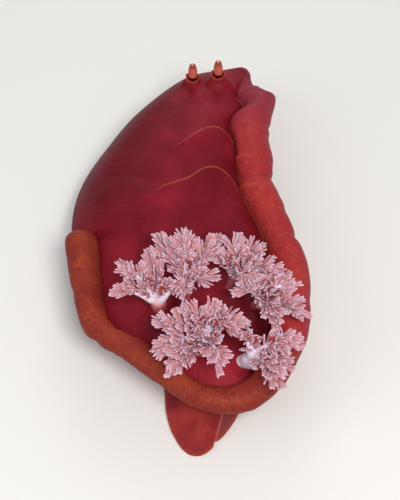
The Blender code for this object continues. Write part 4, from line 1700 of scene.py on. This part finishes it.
    def leaf(self, root: Array, way: Array, size: float) -> tuple[Strands, Strands]:
        """One leaf: a rib and pairs of fingers that touch.

        Args:
            root: where it leaves the frond.
            way: its direction.
            size: its length.

        Returns:
            Its rib and its fingers.
        """
        sky = self.sky + self.random.normal(0, self.sky_sway, 3)
        facing = unit(sky - way * (sky @ way))
        side = np.cross(way, facing)
        curl = self.random.uniform(*self.leaf_curl)
        reach = size - self.finger_length * 0.55
        tip = root + way * reach + facing * reach * curl
        middle = root + way * reach * self.rib_middle
        thick = np.array([self.rib_width])
        rib = Strands(root[None], middle[None], tip[None], facing[None], thick, thick)
        pairs = max(3, round(reach / self.finger_pitch))
        hands = np.append(np.tile([-1.0, 1.0], pairs), 0.0)
        shares = np.append(np.repeat(np.linspace(0.04, 0.97, pairs), 2), 1.0)
        shares += np.where(hands > 0, 0.25 / pairs, 0.0)
        count = len(shares)
        start = arc(root, middle, tip, shares[:, None])
        angle = mix(*self.finger_angle, shares)
        angle = np.radians(angle) + self.random.normal(0, self.angle_sway, count)
        out = side * (hands * np.sin(angle))[:, None]
        rise = self.random.uniform(*self.finger_rise, count)[:, None]
        first = unit(out + way * np.cos(angle)[:, None] + facing * rise)
        droop = self.random.uniform(*self.finger_droop, count)[:, None]
        bent = unit(first * 0.6 + way * 0.4 + facing * droop)
        bent = unit(bent + side * self.random.normal(0, self.finger_sway, count)[:, None])
        length = self.finger_length * (0.86 + 0.24 * np.sin(np.pi * shares**0.8))
        length = (length * self.random.uniform(*self.finger_sizes, count))[:, None]
        knee = start + first * (length * 0.55)
        width = self.finger_width * self.random.uniform(*self.finger_widths, count)
        faces = unit(facing + side * (hands * self.finger_turn)[:, None])
        thick = np.full(count, self.finger_thick)
        return rib, Strands(start, knee, knee + bent * (length * 0.5), faces, width, thick)

    def build(self) -> bpy.types.Object:
        """Make the gill as one mesh, with its colours and its colour map.

        Returns:
            The piece.
        """
        tones = self.tones
        finger = Form(
            section=self.finger_section,
            stations=self.finger_stations,
            colours=(tones.under, tones.flank, tones.ridge, tones.groove, tones.ridge, tones.flank),
            tip=tones.tip,
        )
        rib = Form(
            section=round_section(self.rib_sides),
            stations=self.rib_stations,
            colours=(tones.ridge,) * self.rib_sides,
            tip=tones.ridge,
        )
        parts = []
        for form, strands, band in zip((rib, finger), self.leaves(), self.map_bands):
            one, points = form.make()
            count = len(strands.width)
            mesh = arrayed(one, count)
            set_points(mesh, strands.place(points))
            shade = self.random.uniform(*self.shades, (count, 1, 1))
            paint(mesh, (form.tints(points)[None] * shade).reshape(-1, 3))
            spread_map(mesh, count, band)
            parts.append(mesh)
        parts.append(self.dressed_stem())
        return merged(f"gill_{self.number}_plume", parts)

    def dressed_stem(self) -> bpy.types.Mesh:
        """Stem with its colours and its part of the colour map.

        Returns:
            Its mesh.
        """
        mesh = self.stem()
        points = points_of(mesh)
        height = points[:, 2:] - self.base[2]
        foot, stem = np.array(self.tones.stem_foot), np.array(self.tones.stem)
        blush = self.plan.blush * (1 - smooth(*self.blush_heights, height))
        paint(mesh, mix(stem, foot, blush))
        map_faces(mesh, self.map_bands[-1])
        set_points(mesh, points)
        return mesh


def merged(name: str, parts: list[bpy.types.Mesh]) -> bpy.types.Object:
    """One smooth object from several meshes.

    Args:
        name: name of the object.
        parts: meshes to join.

    Returns:
        The object.
    """
    mesh = bmesh.new()
    for part in parts:
        mesh.from_mesh(part)
    return smooth_object(mesh, name)


@dataclass
class Rhinophore:
    """Club with a stack of fine leaves round its stalk, standing in its sheath."""

    side: Side
    leaves: int = 10
    leaves_from: float = 0.34
    leaves_run: float = 0.56
    swollen: float = 1.2
    sides: int = 36
    stalk: float = 0.42
    flare: float = 0.42
    foot_stations: Pairs = ((0.0, 0.0), (0.0, 0.42), (0.3, 0.3612))
    tip_stations: Pairs = (
        (0.93, 0.34), (0.97, 0.26), (0.995, 0.14), (1.0, 0.0),
    )
    tip_from: float = 0.9
    # Colour of the stalk, which as painted shade also darkens the grooves between the leaves
    stalk_and_groove_shade: Colour = linear(90, 10, 22)
    leaf_colour: Colour = linear(212, 104, 78)
    tip_colour: Colour = linear(226, 168, 150)

    def leaf_stations(self) -> list[Pair]:
        """Stations of all the leaves.

        Returns:
            Share of the length and width of each.
        """
        step = self.leaves_run / self.leaves
        stations = []
        for leaf in range(self.leaves):
            share = self.leaves_from + step * leaf
            swell = 0.62 + 0.38 * math.sin(math.pi * (0.25 + 0.75 * leaf / self.leaves))
            shape = ((0.0, 1 - self.flare), (0.25, 1.0), (0.55, 0.96), (0.75, 1 - self.flare))
            stations += [(share + up * step, swell * width) for up, width in shape]
        return stations

    def build(self) -> bpy.types.Object:
        """Make the club from a closed lathe of its stalk, its leaves and its tip.

        Returns:
            The piece.
        """
        node = f"rhinophore_{self.side.name.lower()}"
        low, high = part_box(node)
        middle = (low + high) / 2
        radius = min(high.x - low.x, high.y - low.y) / 2 * self.swollen
        form = Form(
            section=round_section(self.sides),
            stations=(*self.foot_stations, *self.leaf_stations(), *self.tip_stations),
            colours=(self.leaf_colour,) * self.sides,
            tip=self.tip_colour,
            tip_from=self.tip_from,
        )
        mesh, points = form.make()
        # Painted shade: nearer the stalk, in the grooves between the leaves, the colour darkens
        lit = smooth(0.4, 0.95, np.linalg.norm(points[:, :2], axis=1))[:, None]
        colours, stalk = form.tints(points), np.array(self.stalk_and_groove_shade)
        paint(mesh, np.where(points[:, 2:] > self.tip_from, colours, mix(stalk, colours, lit)))
        places = points * [radius, radius, high.z - low.z] + [middle.x, middle.y, low.z]
        set_points(mesh, places / MM)
        return merged(f"{node}_club", [mesh])


@dataclass(frozen=True)
class TintedFinish:
    """Soft translucent flesh in the colours that the mesh carries."""

    name: str
    veil: Colour
    veil_share: float = 0.35

    def dress(self) -> bpy.types.Material:
        """Make the material.

        Returns:
            The material.
        """
        board = Board(self.name)
        mottled = board.span(board.cloud(160.0), 0.3, 0.8)
        tint = board.carried(Tint.COLOUR, "Color")
        warm = board.over(tint, self.veil, mottled, self.veil_share)
        board.feed(warm, board.shader.inputs["Base Color"])
        board.relief(board.cloud(1500.0), 0.0002, 0.3)
        board.settle({
            "Roughness": 0.5,
            "Specular IOR Level": 0.3,
            "Subsurface Weight": 0.25,
            "Subsurface Radius": (1.0, 0.4, 0.45),
            "Subsurface Scale": 0.0012,
        })
        return board.material


@dataclass(frozen=True)
class SkinFinish:
    """Crimson skin with an orange-red rolled edge and a thin pale line along its lip and pleats."""

    deep: Colour = linear(104, 11, 25)
    rose: Colour = linear(136, 26, 42)
    fibre: Colour = linear(176, 66, 60)
    # Painted shade for the left front of the back and its low margin
    left_front_shade: Colour = linear(92, 14, 26)
    # Painted light: a paler rose inside the rear roll, where the gills and the roll shade the back
    low: Colour = linear(158, 36, 50)
    roll: Colour = linear(157, 44, 47)
    roll_warm: Colour = linear(172, 57, 49)
    roll_patch: Colour = linear(146, 34, 42)
    roll_speck: Colour = linear(190, 78, 62)
    roll_front: Colour = linear(120, 44, 68)
    roll_outer: Colour = linear(146, 48, 66)
    left: Colour = linear(152, 62, 42)
    left_patch: Colour = linear(134, 44, 38)
    # Painted shade for the left roll: its outer side and underside, its far left, and the creases
    # across it
    left_roll_shade: Colour = linear(120, 34, 30)
    left_spot: Colour = linear(116, 34, 40)
    net: Colour = linear(192, 92, 42)
    lip: Colour = linear(188, 98, 58)
    pleat: Colour = linear(186, 92, 66)
    pleat_shade: Colour = linear(112, 12, 40)
    foot: Colour = linear(156, 50, 44)
    foot_deep: Colour = linear(124, 28, 38)
    foot_rim: Colour = linear(176, 78, 50)
    # Painted shade on the steep right face of the tail, beyond its ridge
    tail_right_shade: Colour = linear(124, 52, 54)
    # Painted highlight along the ridge of the tail
    tail_ridge_highlight: Colour = linear(196, 118, 102)
    joined: Colour = linear(136, 28, 40)
    joined_tip: Colour = linear(176, 76, 56)
    # Point that the fibres of the back fan out from, and where the tail's fold lies and slants
    fan_east: float = 0.03
    fan_north: float = -0.02
    fold_place: float = 0.0472
    fold_slant: float = 0.2

    def dress(self) -> bpy.types.Material:
        """Make the material.

        Returns:
            The material.
        """
        board = Board("skin")
        joined = board.carried(Zone.JOINED)
        grown = board.over(self.joined, self.joined_tip, board.span(joined, 0.6, 1.0))
        colour = board.layered(
            self.back(board),
            (self.edge(board), board.carried(Zone.ROLL)),
            (self.lip, board.line(board.past(Zone.LIP), 0.5, 1.8), 0.7),
            (self.lower(board), board.carried(Zone.FOOT)),
            (grown, board.span(joined, 0.1, 0.5)),
        )
        board.feed(colour, board.shader.inputs["Base Color"])
        self.relief(board)
        board.settle({
            "Roughness": 0.52,
            "Specular IOR Level": 0.1,
            "Subsurface Weight": 0.12,
            "Subsurface Radius": (1.0, 0.25, 0.2),
            "Subsurface Scale": 0.0035,
        })
        return board.material

    def back(self, board: Board) -> Socket:
        """Colour of the back: soft crimson clouds, fine fanned fibres, the pleats' lines with
        painted shade ahead of them, painted shade on the left front and painted light inside the
        rear roll.

        Args:
            board: the material.

        Returns:
            The colour's socket.
        """
        back = board.over(self.deep, self.rose, board.span(board.cloud(34.0, 4.0), 0.32, 0.72))
        east, north = board.east, board.north
        from_fan = board.minus(north, self.fan_north), board.minus(east, self.fan_east)
        fan = board.maths("ARCTAN2", *from_fan)
        far = board.maths("ADD", board.times(east, east), board.times(north, north))
        fan = board.times(fan, 75.0)
        far = board.times(board.maths("SQRT", far), 30.0)
        fanned = board.made("CombineXYZ", {0: fan, 1: far})
        strands = board.span(board.cloud(1.0, 3.0, fanned, 0.4), 0.5, 0.8)
        veil = board.span(board.cloud(24.0), 0.42, 0.62)
        back = board.over(back, self.fibre, strands, veil, 0.3)
        # Painted shade: the left front of the back is darkened
        west, ahead = board.span(board.east, -0.022, -0.052), board.span(board.north, -0.05, 0.0)
        back = board.over(back, self.left_front_shade, west, ahead, 0.7)
        # Painted light laid inside the rear roll, over the shade of the gills and the roll
        back = board.over(back, self.low, board.span(board.north, -0.085, -0.106), 0.8)
        shown = board.times(board.carried(Zone.PLEATED), 0.6)
        for zone in (Zone.PLEAT_1, Zone.PLEAT_2, Zone.PLEAT_3):
            past = board.past(zone)
            shade = board.span(past, 0.2, 0.7), board.span(past, 3.0, 1.2)
            back = board.over(back, self.pleat_shade, *shade, shown)
            crest = board.line(board.maths("ADD", past, 0.4), 0.0, 0.95)
            back = board.over(back, self.pleat, crest, shown)
        return board.over(back, self.left, board.carried(Zone.MOUND), 0.6)

    def edge(self, board: Board) -> Socket:
        """Colour of the roll, both sides together, with the lines of its lobes and painted shade on
        the left roll.

        Args:
            board: the material.

        Returns:
            The colour's socket.
        """
        clouds = board.span(board.cloud(46.0, 4.0), 0.4, 0.72)
        outer = board.carried(Zone.OUTER)
        ring = board.carried(Zone.RING, "Vector")
        across = board.cloud(1.0, 3.0, board.scaled(ring, (0.3, 0.3, 0.016)))
        right = board.layered(
            self.roll,
            (self.roll_warm, clouds),
            (self.roll_patch, board.span(board.cloud(230.0, 3.0), 0.5, 0.8)),
            (self.roll_speck, board.span(board.cloud(620.0, 3.0), 0.52, 0.72), 0.5),
            (self.roll_front, board.span(board.north, 0.03, 0.09), 0.65),
            (self.roll_outer, outer, 0.8),
        )
        left = board.layered(
            self.left,
            (self.left_patch, clouds),
            (self.left_spot, board.span(board.cloud(260.0, 3.0), 0.48, 0.78), 0.7),
            # Painted shade on the left roll: its outer side, its far left and the creases across it
            (self.left_roll_shade, outer, 0.75),
            (self.left_roll_shade, board.span(board.east, -0.02, -0.055), 0.4),
            (self.net, self.net_lines(board), 0.34),
            (self.left_roll_shade, board.line(board.minus(across, 0.5), 0.0, 0.022), 0.5),
        )
        west, rear = board.span(board.east, 0.012, -0.03), board.span(board.north, -0.085, -0.118)
        edge = board.over(right, left, board.maths("MAXIMUM", west, rear))
        return board.over(edge, self.lip, board.carried(Zone.LAP), 0.45)

    def net_lines(self, board: Board) -> Socket:
        """Share of the net of fine wavy lines on the left and rear roll.

        Args:
            board: the material.

        Returns:
            The share's socket.
        """
        drift = board.cloud(90.0, 3.0, output="Color")
        warped = board.shifted(board.places, board.scaled(drift, (0.01, 0.01, 0.01)))
        coarse = board.line(board.cells(warped, 130.0), 0.0, 0.05)
        fine = board.line(board.cells(warped, 310.0), 0.0, 0.09)
        lines = board.maths("MAXIMUM", coarse, board.times(fine, 0.5))
        return board.times(lines, board.span(board.cloud(60.0), 0.35, 0.6))

    def lower(self, board: Board) -> Socket:
        """Colour of the flanks, the foot and the tail, with an orange rim, painted shade on the
        tail's right face and a painted highlight along its ridge.

        Args:
            board: the material.

        Returns:
            The colour's socket.
        """
        slanted = board.minus(board.east, board.times(board.north, self.fold_slant))
        past = board.minus(slanted, self.fold_place)
        far = board.span(board.north, -0.116, -0.122)
        return board.layered(
            self.foot,
            (self.foot_deep, board.span(board.cloud(60.0, 4.0), 0.35, 0.7)),
            # Painted shade on the tail's right face, and a painted highlight along its ridge
            (self.tail_right_shade, board.span(past, -0.0004, 0.0012), far),
            (self.tail_ridge_highlight, board.line(past, 0.0, 0.0009), far, 0.45),
            (self.foot_deep, board.span(board.north, -0.13, -0.144), 0.7),
            (self.foot_rim, board.line(board.past(Zone.RIM), 0.3, 2.6), 0.4),
        )

    def relief(self, board: Board) -> None:
        """Fine grain and shallow creases that run round the roll and fade on the back.

        Args:
            board: the material.
        """
        ring = board.carried(Zone.RING, "Vector")
        creases = board.cloud(1.0, 4.0, board.scaled(ring, (0.5, 0.5, 0.06)))
        creases = board.times(creases, board.span(board.part(ring, "Z"), 8.0, 44.0))
        grain = board.times(board.cloud(900.0, 3.0), 0.35)
        board.relief(board.maths("ADD", grain, creases), 0.0009, 0.6)


def fused(shape: bmesh.types.BMesh, voxel: float, rounds: int) -> bpy.types.Mesh:
    """One closed soft surface from forms that overlap.

    Args:
        shape: the forms, which are freed.
        voxel: size of the finest detail kept.
        rounds: rounds of smoothing.

    Returns:
        The surface.
    """
    holder = placed("forms", mesh_of(shape, "forms"))
    fuse = holder.modifiers.new("fuse", "REMESH")
    fuse.mode = "VOXEL"
    fuse.voxel_size = voxel
    ease = holder.modifiers.new("ease", "SMOOTH")
    ease.iterations = rounds
    soft = evaluated(holder)
    bpy.data.objects.remove(holder)
    return soft


@dataclass
class Face:
    """What the head carries: lips round the mouth, broad lobed oral tentacles, and the sheaths."""

    mouth_along: float = 104.4
    mouth_height: float = 10.2
    mouth_stretch: float = 1.3
    lip_radius: float = 3.9
    lip_thick: float = 1.8
    lip_sides: int = 16
    lip_steps: int = 40
    tentacle_side: float = 12.0
    tentacle_along: float = 86.0
    tentacle_height: float = 12.5
    tentacle_bearing: float = 96.0
    stub: float = 15.0
    stub_half_width: float = 4.4
    stub_thick: float = 2.9
    flap: float = 9.0
    flap_half_width: float = 6.6
    flap_thick: float = 1.5
    flap_tilt: float = 34.0
    flap_fall: float = 2.2
    lobes: int = 7
    lobe_length: float = 7.2
    lobe_half_width: float = 1.6
    lobe_thick: float = 1.2
    lobe_fall: float = 1.3
    limb_sides: int = 14
    limb_stations: Pairs = (
        (0.0, 0.0), (0.0, 0.6), (0.3, 0.82), (0.6, 1.0), (0.85, 0.9), (0.96, 0.6), (1.0, 0.0),
    )
    voxel: float = 0.42
    ease_rounds: int = 4
    sheath_sides: int = 48
    sheath_waves: int = 5
    sheath_wave: Triple = (0.06, 0.06, 0.08)
    # Outside of a sheath from its closed foot to its rim, and back down its inside
    sheath_stations: Pairs = (
        (-0.45, 0.0), (-0.45, 1.3), (-0.12, 1.16), (0.1, 0.96), (0.35, 0.84), (0.65, 0.8),
        (0.85, 0.84), (0.96, 0.86), (0.99, 0.81), (0.92, 0.74), (0.6, 0.64), (0.3, 0.6), (0.15, 0.0),
    )

    def lips(self, plan: BodyPlan) -> bpy.types.Mesh:
        """Ring of soft flesh round the mouth, spun from a round section.

        Args:
            plan: plan of the body.

        Returns:
            Their mesh.
        """
        mesh = bmesh.new()
        where = Matrix.Translation((self.lip_radius, 0.0, 0.0))
        bmesh.ops.create_circle(mesh, segments=self.lip_sides, radius=self.lip_thick, matrix=where)
        bmesh.ops.spin(
            mesh, geom=mesh.verts[:] + mesh.edges[:], cent=(0.0, 0.0, 0.0), axis=(0, 1, 0),
            angle=math.tau, steps=self.lip_steps, use_merge=True,
        )
        bmesh.ops.remove_doubles(mesh, verts=mesh.verts, dist=1e-3)
        across = float(plan.bend(Skin.head_shift, self.mouth_along))
        place = (across, self.mouth_along, self.mouth_height)
        bmesh.ops.scale(mesh, vec=(self.mouth_stretch, 1.0, 1.0), verts=mesh.verts)
        bmesh.ops.translate(mesh, vec=place, verts=mesh.verts)
        return mesh_of(mesh, "lips")

    def limbs(self, side: Side, plan: BodyPlan) -> tuple[list[tuple], Array]:
        """Stub, flap and lobes of an oral tentacle.

        Args:
            side: its side.
            plan: plan of the body.

        Returns:
            Start, end, half width and thickness of each, and the direction of the upper side.
        """
        turn, tilt = math.radians(self.tentacle_bearing), math.radians(self.flap_tilt)
        way = np.array([side.value * math.sin(turn), math.cos(turn), 0.0])
        level = np.array([0.0, 0.0, 1.0])
        fore = unit(np.array([0.0, 1.0, 0.0]) - way * way[1])
        across = fore * math.cos(tilt) - level * math.sin(tilt)
        up = level * math.cos(tilt) + fore * math.sin(tilt)
        straight = Skin.head_shift + side.value * self.tentacle_side
        east = plan.bend(straight, self.tentacle_along)
        start = np.array([east, self.tentacle_along, self.tentacle_height])
        root = start + way * self.stub
        end = root + way * self.flap - level * self.flap_fall
        limbs = [
            (start, root + way * 3, self.stub_half_width, self.stub_thick),
            (root - way * 7, end, self.flap_half_width, self.flap_thick),
        ]
        for lobe in range(self.lobes):
            spread = lobe / (self.lobes - 1) - 0.5
            out = unit(way + across * spread * 1.2)
            foot = end - way * 3.0 + across * spread * 2 * (self.flap_half_width - 0.9)
            length = self.lobe_length * (1 - 0.7 * spread * spread) * (0.86 if lobe % 2 else 1.0)
            tip = foot + out * length - level * self.lobe_fall
            limbs.append((foot, tip, self.lobe_half_width, self.lobe_thick))
        return limbs, up

    def tentacle(self, side: Side, plan: BodyPlan) -> bpy.types.Mesh:
        """Broad flap on a thick stub, with a fringe of lobes.

        Args:
            side: its side.
            plan: plan of the body.

        Returns:
            Its mesh.
        """
        form = Form(section=round_section(self.limb_sides), stations=self.limb_stations)
        mesh = bmesh.new()
        limbs, up = self.limbs(side, plan)
        for start, end, width, thick in limbs:
            one, points = form.make()
            middle = (start + end) / 2 + up * 0.4
            strand = Strands(*(np.array([row]) for row in (start, middle, end, up, width, thick)))
            one.vertices.foreach_set("co", strand.place(points).reshape(-1))
            mesh.from_mesh(one)
        return fused(mesh, self.voxel, self.ease_rounds)

    def sheath(self, side: Side) -> bpy.types.Mesh:
        """Low cup with a wavy rim round a club, turned from its section.

        Args:
            side: its side.

        Returns:
            Its mesh.
        """
        low, high = (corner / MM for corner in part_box(f"rhinophore_sheath_{side.name.lower()}"))
        radius = (high.x - low.x) / 2
        form = Form(section=round_section(self.sheath_sides), stations=self.sheath_stations)
        mesh, points = form.make()
        turn = np.arctan2(points[:, 0], points[:, 1])
        wave = np.cos(turn * self.sheath_waves) * smooth(0.1, 1.0, points[:, 2])
        points *= [radius, radius, high.z - low.z] * (1 + wave[:, None] * np.array(self.sheath_wave))
        middle = (low + high) / 2
        points += [middle.x, middle.y, low.z]
        mesh.vertices.foreach_set("co", points.reshape(-1))
        return mesh

    def parts(self, plan: BodyPlan) -> list[bpy.types.Object]:
        """All the parts that grow from the skin, each paler along one direction.

        Args:
            plan: plan of the body.

        Returns:
            One object a part.
        """
        meshes = [(self.lips(plan), UP)]
        for side in Side:
            outwards = Vector((side.value, 0.0, 0.0))
            meshes += [(self.tentacle(side, plan), outwards), (self.sheath(side), UP)]
        made = []
        for data, paler in meshes:
            mesh = bmesh.new()
            mesh.verts.layers.float.new(Zone.JOINED.value)
            mesh.from_mesh(data)
            joined = mesh.verts.layers.float[Zone.JOINED.value]
            places = [vert.co.dot(paler) for vert in mesh.verts]
            low, run = min(places), max(places) - min(places)
            for vert, place in zip(mesh.verts, places):
                vert[joined] = 0.5 + 0.5 * ((place - low) / run) ** 2
                vert.co *= MM
            bmesh.ops.recalc_face_normals(mesh, faces=mesh.faces)
            made.append(smooth_object(mesh, "face_part"))
        return made


def join_smoothly(
    skin: bpy.types.Object, parts: list[bpy.types.Object], rings: int, rounds: int
) -> None:
    """Join parts to the skin as one closed surface and soften the seams.

    Args:
        skin: the skin.
        parts: closed parts that reach into it, which are removed.
        rings: how many rows of points beside a seam are softened.
        rounds: rounds of smoothing.
    """
    group = bpy.data.collections.new("joined")
    bpy.context.scene.collection.children.link(group)
    for part in parts:
        group.objects.link(part)
    union = skin.modifiers.new("union", "BOOLEAN")
    union.operation = "UNION"
    union.solver = "MANIFOLD"
    union.operand_type = "COLLECTION"
    union.collection = group
    data = evaluated(skin)
    skin.modifiers.clear()
    for part in parts:
        bpy.data.objects.remove(part)
    bpy.data.collections.remove(group)
    mesh = bmesh.new()
    mesh.from_mesh(data)
    joined = mesh.verts.layers.float[Zone.JOINED.value]
    seam = set()
    for edge in mesh.edges:
        first, second = (vert[joined] for vert in edge.verts)
        if abs(first - second) > 0.4:
            seam.update(edge.verts)
    for _ in range(rings):
        seam.update([edge.other_vert(vert) for vert in list(seam) for edge in vert.link_edges])
    axes = {"use_axis_x": True, "use_axis_y": True, "use_axis_z": True}
    for _ in range(rounds):
        bmesh.ops.smooth_vert(mesh, verts=list(seam), factor=0.5, **axes)
    mesh.to_mesh(data)
    mesh.free()
    data.shade_smooth()
    data.materials.clear()
    skin.data = data


def main() -> None:
    """Build the pieces in order and report each."""
    logging.basicConfig(level=logging.INFO, format="%(asctime)s %(name)s: %(message)s")
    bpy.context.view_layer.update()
    Studio().build()
    log.info("studio ready")
    shape = Skin()
    skin = smooth_object(shape.shape(), "dancer_skin")
    log.info("skin laid")
    join_smoothly(skin, Face().parts(shape.plan), rings=2, rounds=5)
    skin.data.materials.append(SkinFinish().dress())
    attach(skin, BODY)
    own_pieces = ("gill_", "rhinophore_left", "rhinophore_right")
    flesh = [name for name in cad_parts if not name.startswith(own_pieces)]
    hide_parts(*flesh)
    log.info("skin has %d faces", len(skin.data.polygons))
    finish = TintedFinish("gill", linear(206, 138, 132)).dress()
    for number, plan in enumerate(GILLS, start=1):
        plume = Gill(number, plan, seed=40 + number).build()
        plume.data.materials.append(finish)
        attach(plume, BODY)
        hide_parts(f"gill_{number}")
        log.info("gill %d has %d faces", number, len(plume.data.polygons))
    finish = TintedFinish("rhinophore", linear(150, 40, 44)).dress()
    for side in Side:
        club = Rhinophore(side).build()
        club.data.materials.append(finish)
        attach(club, BODY)
        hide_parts(f"rhinophore_{side.name.lower()}")
        log.info("%s has %d faces", club.name, len(club.data.polygons))


if __name__ == "__main__":
    main()
